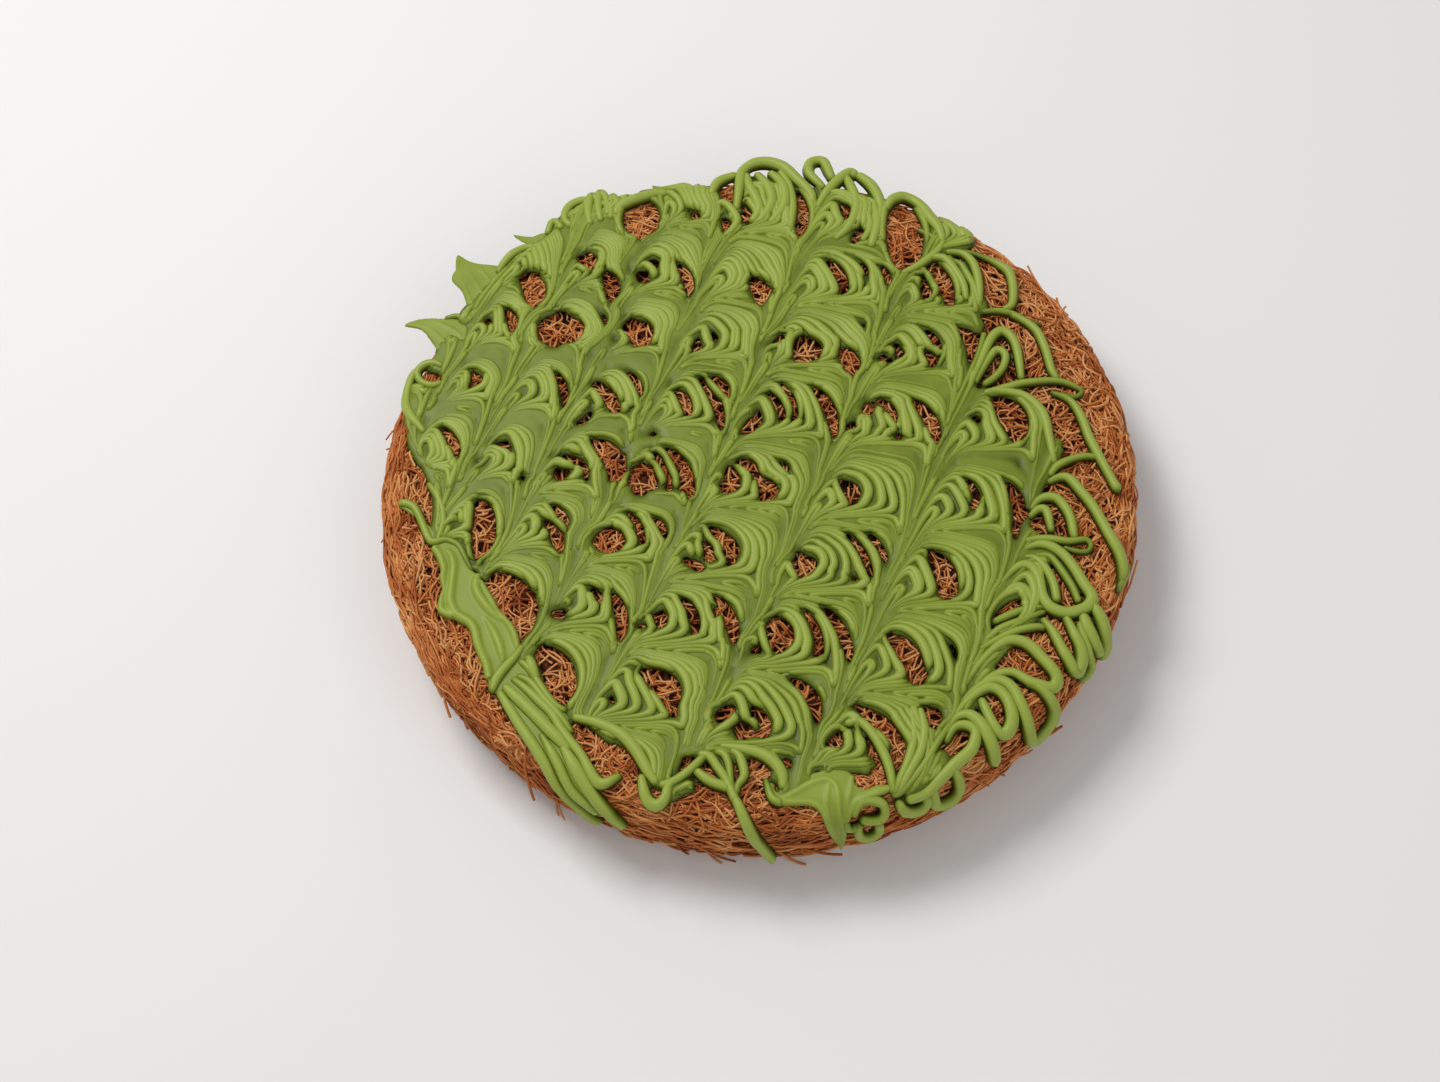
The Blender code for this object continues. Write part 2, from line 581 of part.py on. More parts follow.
cream_skin = material("Pistachio_cream", (0.30, 0.42, 0.09), 0.45)
lace = combed_strands()
strand_paths = [(points, np.minimum(radius, room)) for points, radius, room in lace]
skin_paths = [(points, np.minimum(SKIN_RADIUS, room)) for points, radius, room in lace]
edge_paths = [given(stops) for stops in EDGE_STRANDS]
strand_paths += edge_paths + [spine_rib(*spine) for spine in SPINES]
skin_paths += [(points, np.full(len(points), EDGE_SKIN_RADIUS)) for points, radii in edge_paths]
strands = flat_tubes("strands", strand_paths, STRAND_HEIGHT / STRAND_RADIUS)
skin = flat_tubes("skin", skin_paths, SKIN_HEIGHT / SKIN_RADIUS)
sheets = flat_tubes("sheets", [given(stops) for stops in SHEETS], SHEET_SQUASH)
flat_lace = melted("pistachio_cream", [strands, skin, sheets], CREAM_VOXEL, CREAM_EVENING)
cream = evened(thinned(laid_on_round(flat_lace), CREAM_TRIANGLES), CREAM_SOFTENING)
cream.data.materials.append(cream_skin)

kunafa = bpy.data.collections.new("kunafa")
bpy.context.scene.collection.children.link(kunafa)
for piece in (pastry, cream):
    bpy.context.scene.collection.objects.unlink(piece)
    kunafa.objects.link(piece)
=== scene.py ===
"""Kunafa: a round of shredded kataifi pastry under a lace of combed pistachio cream.

Metres, +Z up, the origin in the middle of the underside. It is made in the kitchen's order: the baked round, the
cream piped and combed over it, and then the loose ends of pastry that show through and round the cream.
"""

import math

import bmesh
import bpy
import numpy as np
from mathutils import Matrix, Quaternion, Vector
from mathutils.bvhtree import BVHTree


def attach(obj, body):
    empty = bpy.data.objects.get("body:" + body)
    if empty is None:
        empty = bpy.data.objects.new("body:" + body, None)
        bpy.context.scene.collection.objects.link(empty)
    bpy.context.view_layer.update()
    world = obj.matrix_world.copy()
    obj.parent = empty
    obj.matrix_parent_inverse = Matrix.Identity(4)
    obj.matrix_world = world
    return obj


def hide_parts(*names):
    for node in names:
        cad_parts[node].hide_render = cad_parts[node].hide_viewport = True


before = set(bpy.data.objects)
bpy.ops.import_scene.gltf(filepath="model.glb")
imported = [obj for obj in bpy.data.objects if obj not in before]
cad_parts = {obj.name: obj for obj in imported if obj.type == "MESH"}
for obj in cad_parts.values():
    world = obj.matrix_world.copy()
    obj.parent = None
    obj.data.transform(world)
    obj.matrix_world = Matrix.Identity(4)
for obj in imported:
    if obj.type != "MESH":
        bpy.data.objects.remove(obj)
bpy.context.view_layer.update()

# ---------------------------------------------------------------------------------------------------------------------
# The baked round. A pan-shaped cake of shredded dough, pressed, browned in butter and turned out. Its inside shows
# only as the dark between the strands, so it is one lumpy body, lower and narrower than the strands on it.
# ---------------------------------------------------------------------------------------------------------------------
MM = 0.001
CAKE_RADIUS = 117 * MM
CAKE_TOP = 32 * MM
RIM_ROUND = 7 * MM
FOOT_TUCK = 3.5 * MM
CORE_INSET = 2.6 * MM
CORE_STEPS = 220
CORE_RINGS = (40, 6, 12, 6)
CORE_LUMP = 0.5 * MM
LUMP_SPACING = 4 * MM
FIBRE_SPACING = 2.38 * MM


def linear(hex_colour):
    """An sRGB hex colour as the linear values that a shader takes."""
    parts = [int(hex_colour[i : i + 2], 16) / 255 for i in (1, 3, 5)]
    return (*[c / 12.92 if c <= 0.04045 else ((c + 0.055) / 1.055) ** 2.4 for c in parts], 1)


def add_node(tree, kind, settings=(), **links):
    """A node of this kind with its settings, and its inputs linked to sockets or given values."""
    node = tree.nodes.new(kind)
    for name, value in dict(settings).items():
        setattr(node, name, value)
    for name, value in links.items():
        socket = node.inputs[int(name[2:])] if name.startswith("in") else node.inputs[name.replace("_", " ")]
        if isinstance(value, bpy.types.NodeSocket):
            tree.links.new(value, socket)
        else:
            socket.default_value = value
    return node


def ramp(tree, factor, stops):
    """A colour ramp over (place, hex colour) stops."""
    node = add_node(tree, "ShaderNodeValToRGB", Fac=factor)
    band = node.color_ramp
    while len(band.elements) < len(stops):
        band.elements.new(1)
    for element, (place, colour) in zip(band.elements, stops):
        element.position = place
        element.color = linear(colour)
    return node.outputs["Color"]


def new_material(name, roughness, specular):
    """A material with its Principled shader: the tree, the shader and the object coordinates are handed back."""
    made = bpy.data.materials.new(name)
    made.use_nodes = True
    tree = made.node_tree
    shader = tree.nodes["Principled BSDF"]
    shader.inputs["Roughness"].default_value = roughness
    shader.inputs["Specular IOR Level"].default_value = specular
    place = add_node(tree, "ShaderNodeTexCoord").outputs["Object"]
    return made, tree, shader, place


def placed(name, data):
    made = bpy.data.objects.new(name, data)
    bpy.context.scene.collection.objects.link(made)
    return made


def as_mesh(obj):
    """The object with its modifiers or bevel made into a plain mesh object of the same name."""
    bpy.context.view_layer.update()
    mesh = bpy.data.meshes.new_from_object(obj.evaluated_get(bpy.context.evaluated_depsgraph_get()))
    name = obj.name
    bpy.data.objects.remove(obj)
    return placed(name, mesh)


def finished(obj, material):
    """The piece smooth shaded, in its material, and carried by the cake."""
    obj.data.materials.clear()
    obj.data.materials.append(material)
    obj.data.polygons.foreach_set("use_smooth", [True] * len(obj.data.polygons))
    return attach(obj, "root")


def core_profile():
    """Radius and height from the middle of the top to the middle of the underside."""
    on_top, on_rim, on_side, under = CORE_RINGS
    top = CAKE_TOP - CORE_INSET
    radius = CAKE_RADIUS - CORE_INSET
    bend = RIM_ROUND - CORE_INSET
    profile = [(r, top) for r in np.linspace(0, radius - bend, on_top)]
    for turn in np.linspace(0, math.pi / 2, on_rim)[1:]:
        profile.append((radius - bend + bend * math.sin(turn), top - bend + bend * math.cos(turn)))
    for drop in np.linspace(0, 1, on_side)[1:]:
        profile.append((radius - FOOT_TUCK * max(0, 2 * drop - 1), (top - bend) * (1 - drop)))
    return profile + [(r, 0) for r in np.linspace(radius - FOOT_TUCK, 0, under)[1:]]


body = bmesh.new()
corners = [body.verts.new((radius, 0, height)) for radius, height in core_profile()]
edges = [body.edges.new(pair) for pair in zip(corners, corners[1:])]
bmesh.ops.spin(
    body, geom=corners + edges, cent=(0, 0, 0), axis=(0, 0, 1), angle=2 * math.pi, steps=CORE_STEPS, use_merge=True
)
bmesh.ops.remove_doubles(body, verts=body.verts, dist=0.01 * MM)
bmesh.ops.recalc_face_normals(body, faces=body.faces)
mesh = bpy.data.meshes.new("baked_core")
body.to_mesh(mesh)
body.free()
core = placed("baked_core", mesh)
lumps = bpy.data.textures.new("lumps", "CLOUDS")
lumps.noise_scale = LUMP_SPACING
lump = core.modifiers.new("lumps", "DISPLACE")
lump.texture = lumps
lump.texture_coords = "LOCAL"
lump.strength = 2 * CORE_LUMP
core = as_mesh(core)
for vertex in core.data.vertices:
    vertex.co.z = max(vertex.co.z, 0)

# Pressed kataifi seen between its outer strands: almost black-brown where light hardly reaches, dull and dry. Its
# tangle of strands is a noise a little over two strands wide.
pressed, tree, shader, place = new_material("Pressed_kataifi_shade", 0.9, 0.2)
fibre = add_node(tree, "ShaderNodeTexNoise", Vector=place, Scale=1 / FIBRE_SPACING, Detail=3.0, Distortion=1.2)
tree.links.new(
    ramp(tree, fibre.outputs["Fac"], [(0.35, "#2A0E04"), (0.52, "#4C2210"), (0.66, "#7A4322")]),
    shader.inputs["Base Color"],
)
relief = add_node(tree, "ShaderNodeBump", Strength=0.6, Distance=0.5 * MM, Height=fibre.outputs["Fac"])
tree.links.new(relief.outputs["Normal"], shader.inputs["Normal"])
finished(core, pressed)
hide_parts("kataifi_cake")

# ---------------------------------------------------------------------------------------------------------------------
# The cream. Thick pistachio cream piped in one long zig-zag from front to back. A skewer is then drawn through it to
# the left along every row, and last towards the front along every spine, which pulls it into nested scallops.
# ---------------------------------------------------------------------------------------------------------------------
CREAM_GAP = 0.4 * MM
STRAND_RADIUS = 1.75 * MM
STRAND_HEIGHT = 2.9 * MM
STRAND_SIDES = 8
PIECE_TRIANGLES = 190000

# How it is piped: the angle and spacing of the runs, their waviness and length in mm, and how full they come out.
PIPE_ANGLE = -74.2
PIPE_PITCH = 3.9 * MM
PIPE_UNEVEN = 0.15
PIPE_STEP = 0.05 * MM
PIPE_SWAY = ((0.3, 17 * MM), (0.2, 7 * MM))
PIPE_OVERRUN = (-2.5, 1.5)
PIPE_FULLNESS = (0.88, 1.12)
SHORTEST_RUN = 12 * MM

# How a strand is drawn out: it thins as it stretches, parts below THINNEST, and sinks into the skin below FAINT.
STATION = 0.6 * MM
STRETCH_LIMITS = (0.9, 60)
THINNING = 0.22
THINNEST = 0.95 * MM
FAINT = 1.25 * MM
SHORTEST = 8 * MM
TURN_STATIONS = 4
END_LENGTH = 2.5 * MM
END_SHARE = 0.35
STRAIGHT_STATION = 3.5 * MM
BENT_STATION = math.radians(18)

# The skin that the strands have melted into below.
SKIN_RADIUS = 2.3 * MM
SKIN_HEIGHT = 1.3 * MM
SKIN_VOXEL = 0.6 * MM
SKIN_TRIANGLES = 120000
SMEAR = 0.5

# By direction in degrees from the right: how far out the piping turns back, and how far out the combed cream reaches.
CREAM_EDGE = [
    (0, 106, 97), (15, 107, 100), (33, 109, 107), (55, 113, 111), (65, 113, 109), (75, 114, 110), (92, 115, 111),
    (100, 117, 117), (106, 117, 115), (112, 117, 120), (116, 117, 118), (120, 116, 115), (127, 113, 115),
    (134, 110, 113), (140, 107, 113), (150, 101, 112), (154, 100, 116), (158, 99, 115), (163, 98, 113),
    (168, 98, 106), (172, 97, 101), (180, 96, 98), (187, 97, 98), (194, 97, 97), (202, 98, 97), (211, 98, 98),
    (220, 98, 104), (232, 97, 106), (242, 102, 100), (248, 106, 110), (256, 108, 106), (268, 110, 110),
    (278, 113, 116), (290, 115, 112), (300, 116, 106), (308, 116, 101), (316, 115, 96), (326, 110, 94),
    (333, 105, 92), (341, 99, 95), (352, 102, 96), (360, 106, 97),
]
EDGE_SLACK = 4 * MM

# Where it stands out past the rim instead of lying down round it: the middle and the spread of each place in degrees.
# There it droops by DROOP mm at 1 mm out, and with the square of that further out.
STANDING = [(139, 20), (112, 12), (74, 18)]
DROOP = 0.006

# Every stroke: its place in mm, its tilt and bend in mm at STROKE_SPAN along, and its strength.
STROKE_SPAN = 80 * MM
ROW_ANGLE = 165.4
ROW_START = 10
ROW_DRAG = (28.5 * MM, 2.1 * MM)
ROW_TAIL = (2.3 * MM, 8 * MM)
ROW_TIP = 1.5 * MM
ROWS = [
    (91, -0.3, 0, 0.9), (63.3, 2.5, -0.3, 0.9), (37.4, 2.1, 0.8, 1.15), (9.4, 0.7, -1.8, 1.33), (-16.9, 0, -0.4, 1),
    (-43.8, -3, -0.9, 1), (-71.3, -6.4, -1.1, 0.93), (-99.5, -4, -0.2, 1),
]
SPINE_ANGLE = 243
SPINE_DRAG = (33.5 * MM, 1.87 * MM)
SPINE_TAIL = (0.5 * MM, 5.5 * MM)
SPINE_TIP = 0.3 * MM
SPINES = [
    (-107.5, 0, -1.5, 0.95), (-87, 1.1, -0.7, 1.05), (-65.4, -1.4, -6, 1.15), (-41.2, -0.9, -3.7, 0.97),
    (-14.5, -1.7, -3.2, 0.87), (18.3, -2.1, -2.3, 1), (50.8, -0.5, -2, 1.12), (83, 1.6, -1.3, 1.1),
]

# The gaps that opened between strands: both ends and the width in mm, and the bow in mm where it isn't a slight one.
GAPS = [
    (-68, 87, -65.5, 72, 7), (-48.5, 92, -45.5, 85, 4.5), (-41.5, 84, -40.5, 70.8, 4.6), (-58, 70, -60, 55.5, 15),
    (-75, 73.7, -73.5, 62.6, 2.8), (-82, 70, -79.8, 68.7, 1.6), (-94.2, 68.4, -89.2, 64.5, 2),
    (-44.8, 67.8, -43, 61.8, 1), (-27, 112, -29, 95, 11.5, 0), (-10.9, 104.2, -9.8, 101, 1.8),
    (-0.5, 114, 3.5, 102, 5.5), (-1, 100, -0.4, 92.6, 2.6), (7, 103.7, 6.7, 95.3, 1.8), (22, 110.5, 23.3, 87.9, 5),
    (27, 110.5, 30.9, 103.7, 1.6), (38.6, 100.5, 40, 93, 2.8), (6, 75, 8, 63, 5), (31.2, 78.4, 35.4, 62.9, 3.4),
    (-31.5, 81.6, -27.8, 77.9, 2.4), (-26.2, 86.3, -24.6, 82.6, 1.6), (-17.8, 84, -15, 69, 3),
    (-36, 63.5, -30.7, 51.7, 8), (43.8, 89.5, 41.5, 83.2, 3), (38, 79, 41.5, 64.5, 0.8, 3.5),
    (48, 73.7, 49.7, 64.5, 1.6), (57.5, 98, 55.5, 69.5, 11.5, 1), (60.5, 68.5, 61.8, 58, 2.2),
    (63, 73.8, 68.5, 54, 4.5), (70.8, 71.6, 74.3, 56.3, 1.6), (75.5, 75, 83, 52, 7.5),
    (-104.5, 51.5, -100.5, 51, 1.5), (-103, 47.5, -97, 48.5, 2.5), (-86.5, 50.5, -88, 43, 3.4, 1.5),
    (-60.5, 46.5, -58.8, 32, 2.2), (-48.5, 40.5, -42, 27.8, 3.6), (-49.8, 30, -56, 25, 1.6),
    (-98.3, 30.5, -93, 17.5, 2.6), (-81.5, 22, -76.8, 19, 1.6), (-50.5, 20, -42.5, 3, 6.5),
    (-62.5, 15, -52.3, 4, 1.6, 3), (-61.8, 10.5, -60.8, 5, 4.8), (-73.2, 9, -73, 6.5, 1.8),
    (-86.6, 16.6, -86.6, 15.4, 1.2), (-13.3, 52.3, -16, 47.5, 2.6), (-9.3, 54.5, -8.2, 50, 1),
    (14, 51.5, 9.5, 47.2, 1.6), (20.5, 50, 18.5, 38, 9), (31.5, 43.5, 34, 31.5, 5), (-38, 44, -33.7, 32.5, 1.8),
    (-22.8, 35, -19.3, 23, 3), (-15, 38.5, -9.7, 16.5, 2.8), (-11.5, 38.5, -6, 28.8, 2.5),
    (3.3, 22.5, -4.3, 14.5, 2.8), (6, 30, 10.6, 18.5, 1.2), (10, 33, 14.3, 18, 1.3), (20.5, 30, 25.3, 9, 3.4),
    (32.3, 14.5, 30, 12, 1.2), (-33, 18.5, -29.5, 18.2, 0.8), (-35.5, 9.5, -37, -3.8, 8),
    (-32, 12.5, -27.5, -2.5, 1.6), (-27.5, 13.5, -21.5, -7, 3.6), (-8.3, 3.8, -10, -5.5, 4), (-5, 6.3, 0, -1.3, 2.4),
    (6.5, 4, 9.7, -1.5, 1.2), (1.5, -1.5, 1.5, -11, 5.4), (-40.2, 56.2, -40.2, 55.4, 1),
    (-37.2, 28.9, -37.2, 28.1, 1), (47.5, 42.5, 46.2, 34.5, 2.2, 3), (44.5, 38.5, 41.8, 36.7, 1),
    (38.3, 53, 40, 49, 0.8), (57.5, 48, 61, 33, 2, 2.5), (57.8, 38.5, 59.5, 32, 2.2), (69.5, 47, 71, 29.5, 4.6, 3),
    (80, 39.5, 83.3, 31.5, 1.8), (79.3, 32, 72.5, 23.5, 3), (78, 49, 84, 45, 4), (85, 44, 90, 23, 7.5),
    (77, 18.5, 82.5, 0.5, 8), (88, 19, 100, -5, 6), (36.5, 21.5, 36.5, 17, 3), (41, 22.5, 45, 12.5, 2),
    (45.5, 8.8, 44.3, 6, 3.4), (51.5, 20.5, 56.7, 3.2, 3.6), (69.3, 12.5, 70.8, 8.5, 1.2),
    (-86.5, 2.5, -88.5, -19.5, 7, 1.5), (-95.3, -12.1, -93.2, -19.5, 1.6), (-94.7, -6.2, -94.7, -7.4, 1.5),
    (-84, -24, -76.8, -49.5, 11, 3), (-66.6, -40, -63.4, -42.9, 2), (-55.3, -32.9, -51.8, -39.5, 1.6),
    (-48.2, -35.8, -47.4, -53.2, 3.4), (-47.4, -12.5, -48.5, -23, 9, 0), (-81.8, -45.8, -79.2, -52.6, 1.4),
    (-71.5, -50.5, -65, -72.5, 9), (-64.9, -2.5, -60.5, -13, 2.2), (-67.1, -7.9, -62.9, -21, 2.6),
    (-42, -8, -37.3, -21, 1.5), (-34, -11, -30.5, -20, 2), (25.2, -5.5, 28.5, -15.5, 4.6), (-17, -16.3, -11, -32, 4),
    (-19, -21.5, -18.5, -30, 2.8), (-24.5, -28.5, -20, -32.5, 2.2), (9, -29.5, 10.3, -38.5, 6.6),
    (24, -24, 30, -42.5, 1.8), (30, -24.5, 35.2, -37.8, 1.6), (25.6, -39.9, 24.8, -41.8, 2),
    (-28, -40, -23.8, -53.5, 2.6), (-36.3, -44.8, -35.5, -49, 1.8), (-40, -47.5, -42, -49, 1),
    (-17.8, -40.5, -13.3, -59, 3.6), (-1, -50, 0, -63, 7.5), (8, -48.5, 12, -66, 1.8), (14, -48.5, 20.1, -68.7, 3),
    (-6.3, -59.7, -9, -62.2, 2.6), (-18.5, -45, -18, -48.5, 0.8), (96, -10, 99.5, -23, 9, 0),
    (85.5, -22.6, 87.8, -33.2, 3.4), (62.8, -10, 65.7, -20.5, 1.8), (74.9, -11.6, 74.7, -31.6, 3.6, 3),
    (49, -33.7, 52.3, -52.1, 6), (82.6, -43.7, 86.5, -57.4, 4.2), (73, -54.5, 63, -63, 5, 0),
    (93.9, -6.8, 98, -5, 1.2), (-65.5, -77, -50, -108, 13, 0), (-42, -62.5, -33, -78.7, 7, 3),
    (1.2, -70.5, 8, -87.9, 3.6, 3), (-18.5, -78, -21, -83.5, 4), (-14, -83, -14.2, -89.5, 4.5),
    (-10, -79, -7, -89.5, 2.4), (-27.6, -95.5, -22.7, -99.5, 3), (-18.8, -94.5, -17.5, -101.5, 2),
    (-14, -95, -8.5, -103.5, 6), (-17, -103, -15, -108, 2.4), (-7, -103.7, -7.3, -108, 1.8),
    (-13.5, -104.5, -8, -112, 5), (-3.5, -96, -1.3, -100, 1.8), (19.5, -82, 28.8, -109.2, 5, 5),
    (15, -90, 9.5, -94.7, 3), (20.5, -90, 25, -106.5, 3), (5, -103.5, 7.5, -101.5, 1.4), (17, -105, 20, -108, 3.2),
    (-41.5, -101, -40.5, -105.5, 2.5), (-36, -99.3, -31, -98, 1.6), (17, -113, 21, -114.5, 2),
    (31, -112.8, 34, -114, 1.6), (32.5, -60, 39.5, -78.5, 6), (49, -64, 51, -72.5, 1), (74, -67, 80, -80, 4, 1),
    (67.5, -73, 73.5, -80, 2.4), (68, -82, 73, -95.5, 4), (57.5, -83, 60.5, -93, 3.2), (39.5, -84.5, 42, -93, 5),
    (47.5, -92.5, 42, -99.5, 4), (92.3, -41.5, 92.9, -43, 2),
]
SLIGHT_BOW = 0.09

# A gap pushes away the middle of each strand near it, by GAP_MARGIN beside it and less round its tips.
GAP_MARGIN = 0.9 * STRAND_RADIUS
GAP_TIP = 2 * MM
GAP_REACH = 8
NO_GAP_NEAR = 99 * MM

# Where the combed lace gave way to loose loops, by outlines in mm.
LOOSENED = [
    [(-34, -92), (-29, -92), (-23, -92), (-13, -95), (-8, -98), (-6, -103), (-7, -108), (-3, -109), (4, -104),
     (14, -103), (16, -106), (22, -109), (26, -111), (29, -112), (34, -110), (40, -107), (44, -101), (48, -92),
     (56, -84), (70, -66), (82, -60), (84, -45), (95, -45), (105, -70), (70, -110), (30, -130), (-20, -130)],
    [(77, 51), (83, 48), (85, 50), (82, 60), (80, 75), (100, 70), (125, 0), (115, -50), (90, -40), (82, -36),
     (80, -26), (84, -18), (88, -12), (94, -8), (93, 12), (88, 20), (78, 20), (70, 23), (74, 31)],
    [(-104, -12), (-93, -12), (-89, -24), (-84, -34), (-80, -45), (-78, -53), (-75, -61), (-62, -77), (-54, -96),
     (-48, -112), (-70, -120), (-100, -60), (-112, -20)],
]

draw = np.random.default_rng(3)


def direction(degrees):
    """Unit vector at this angle in the plan."""
    return np.array([math.cos(math.radians(degrees)), math.sin(math.radians(degrees))])


def left_of(vector):
    return np.array([-vector[1], vector[0]])


def smooth_run(values, window):
    """Running mean with soft ends."""
    weights = np.hanning(window + 2)[1:-1]
    padded = np.pad(values, window, "edge")
    return np.convolve(padded, weights / weights.sum(), "same")[window:-window]


def drape(x, y, lift):
    """Plan points laid on the round: flat on top, round the rim, then down the side, and lift away from it."""
    reach = np.hypot(x, y)
    flat = CAKE_RADIUS - RIM_ROUND
    turn = np.clip((reach - flat) / RIM_ROUND, 0, math.pi / 2)
    down = np.maximum(reach - flat - RIM_ROUND * math.pi / 2, 0)
    radius = np.minimum(reach, flat) + (RIM_ROUND + lift) * np.sin(turn)
    height = CAKE_TOP - RIM_ROUND + (RIM_ROUND + lift) * np.cos(turn) - down
    scale = radius / np.maximum(reach, 1e-9)
    return np.stack([x * scale, y * scale, height], axis=1)


def set_on_round(x, y, lift):
    """The cream laid on the round. Behind, in a few places, it stands out past the rim and only droops a little."""
    laid = drape(x, y, lift)
    past = np.maximum(np.hypot(x, y) - CAKE_RADIUS + RIM_ROUND, 0)
    bearing = np.degrees(np.arctan2(y, x))
    off = np.min([np.abs(bearing - middle) / spread for middle, spread in STANDING], axis=0)
    stiff = np.clip(1.6 - off, 0, 1)[:, None]
    standing = np.stack([x, y, CAKE_TOP + lift - DROOP * past**2 / MM], axis=1)
    return laid + stiff * (standing - laid)


def cream_edge(points, which):
    """How far out the cream goes in the direction of each point: as piped, 1, or as combed, 2."""
    edge = np.array(CREAM_EDGE).T
    return np.interp(np.degrees(np.arctan2(points[:, 1], points[:, 0])) % 360, edge[0], edge[which]) * MM


def inside(points, outline):
    """True for the points inside this outline."""
    x, y = points.T / MM
    found = np.zeros(len(points), dtype=bool)
    for (x0, y0), (x1, y1) in zip(outline, outline[1:] + outline[:1]):
        crosses = (y0 > y) != (y1 > y)
        found ^= crosses & (x < x0 + (y - y0) * (x1 - x0) / (y1 - y0 if y1 != y0 else 1))
    return found


def held_back(points):
    """Cream that a stroke pushed past the edge piles up there instead of leaving the round."""
    reach = np.hypot(*points.T)
    start = cream_edge(points, 2) - EDGE_SLACK / 2
    past = np.maximum(reach - start, 0)
    kept = np.minimum(reach, start) + EDGE_SLACK * (1 - np.exp(-past / EDGE_SLACK))
    return points * (kept / np.maximum(reach, 1e-9))[:, None]


def piped_zigzag():
    """The zig-zag as it leaves the bag: runs at PIPE_ANGLE, each joined to the next by a round turn."""
    run = direction(PIPE_ANGLE)
    across = left_of(run)
    pieces = []
    fullness = []
    offset = -CAKE_RADIUS - 2 * PIPE_PITCH
    while offset < CAKE_RADIUS + 2 * PIPE_PITCH:
        offset += PIPE_PITCH * (1 + PIPE_UNEVEN * draw.uniform(-1, 1))
        wander = draw.uniform(0, 2 * math.pi, 2)
        t = np.arange(-1.2 * CAKE_RADIUS, 1.2 * CAKE_RADIUS, PIPE_STEP)
        sway = sum(size * np.sin(t / length + start) for (size, length), start in zip(PIPE_SWAY, wander))
        line = np.outer(t, run) + np.outer(offset + sway * MM, across)
        overrun = draw.uniform(*PIPE_OVERRUN, 2)[(t > 0).astype(int)] * MM
        line = line[np.hypot(line[:, 0], line[:, 1]) < cream_edge(line, 1) + overrun]
        if len(line) * PIPE_STEP < SHORTEST_RUN:
            continue
        ahead = run
        if len(pieces) % 4 == 2:  # Every other run goes back, and each has its turn before it.
            line = line[::-1]
            ahead = -run
        full = draw.uniform(*PIPE_FULLNESS)
        if pieces:
            start = pieces[-1][-1]
            middle = (start + line[0]) / 2
            bulge = np.linalg.norm(line[0] - start) / 2
            sweep = np.linspace(0, math.pi, 120)[1:-1]
            bow = np.outer(np.cos(sweep), start - middle) - np.outer(np.sin(sweep), ahead * bulge)
            pieces.append(middle + bow)
            fullness.append(np.full(len(bow), full))
        pieces.append(line)
        fullness.append(np.full(len(line), full))
    return np.concatenate(pieces), np.concatenate(fullness)


def stroke(points, origin, heading, bent, drag, tail, tip):
    """Where the points end up after one stroke of the skewer, which pulls hard close by and a little further off."""
    tilt, bend, strength = bent
    along = (points - origin) @ heading / STROKE_SPAN
    away = np.hypot((points - origin) @ left_of(heading) - (tilt * along + bend * along**2) * MM, tip) - tip
    pull = strength * (drag[0] * np.exp(-away / drag[1]) + tail[0] * np.exp(-away / tail[1]))
    return points + np.outer(pull, heading)


def opened(points):
    """The points pushed out of every gap, and how far each then is from the nearest gap's edge."""
    room = np.full(len(points), NO_GAP_NEAR)
    for turn in range(3):
        for x0, y0, x1, y1, width, *bow in GAPS:
            start, end = np.array([x0, y0]) * MM, np.array([x1, y1]) * MM
            middle = (start + end) / 2
            half = np.linalg.norm(end - start) / 2
            heading = (end - start) / (2 * half)
            side = left_of(heading)
            near = np.flatnonzero(np.hypot(*(points - middle).T) < half + (width + GAP_REACH) * MM)
            if not len(near):
                continue
            spot = points[near] - middle
            along = spot @ heading / half
            bulge = bow[0] * MM if bow else 2 * SLIGHT_BOW * half
            away = spot @ side - bulge * (1 - along**2)
            gap = 0.5 * width * MM * np.sqrt(np.clip(1 - along**2, 0, 1))
            edge = gap + GAP_MARGIN * np.sqrt(np.clip(1 - (along * half / (half + GAP_TIP)) ** 2, 0, 1))
            pushed = np.hypot(away, edge) if turn == 0 else np.maximum(np.abs(away), edge)
            points[near] += np.outer(np.where(away < 0, -1, 1) * pushed - away, side)
            if turn == 2:
                clear = np.hypot(pushed - gap, np.maximum(np.abs(along) - 1, 0) * half)
                room[near] = np.minimum(room[near], clear)
    return points, room


def combed(points):
    """Where the piped points end up after every row and then every spine is combed."""
    rows = direction(ROW_ANGLE)
    for place, *bent in ROWS:
        points = stroke(points, np.array([ROW_START, place]) * MM, rows, bent, ROW_DRAG, ROW_TAIL, ROW_TIP)
    spines = direction(SPINE_ANGLE)
    for place, *bent in SPINES:
        points = stroke(points, place * MM * left_of(spines), spines, bent, SPINE_DRAG, SPINE_TAIL, SPINE_TIP)
    return points


def step_lengths(points):
    return np.linalg.norm(np.diff(points, axis=0), axis=1)


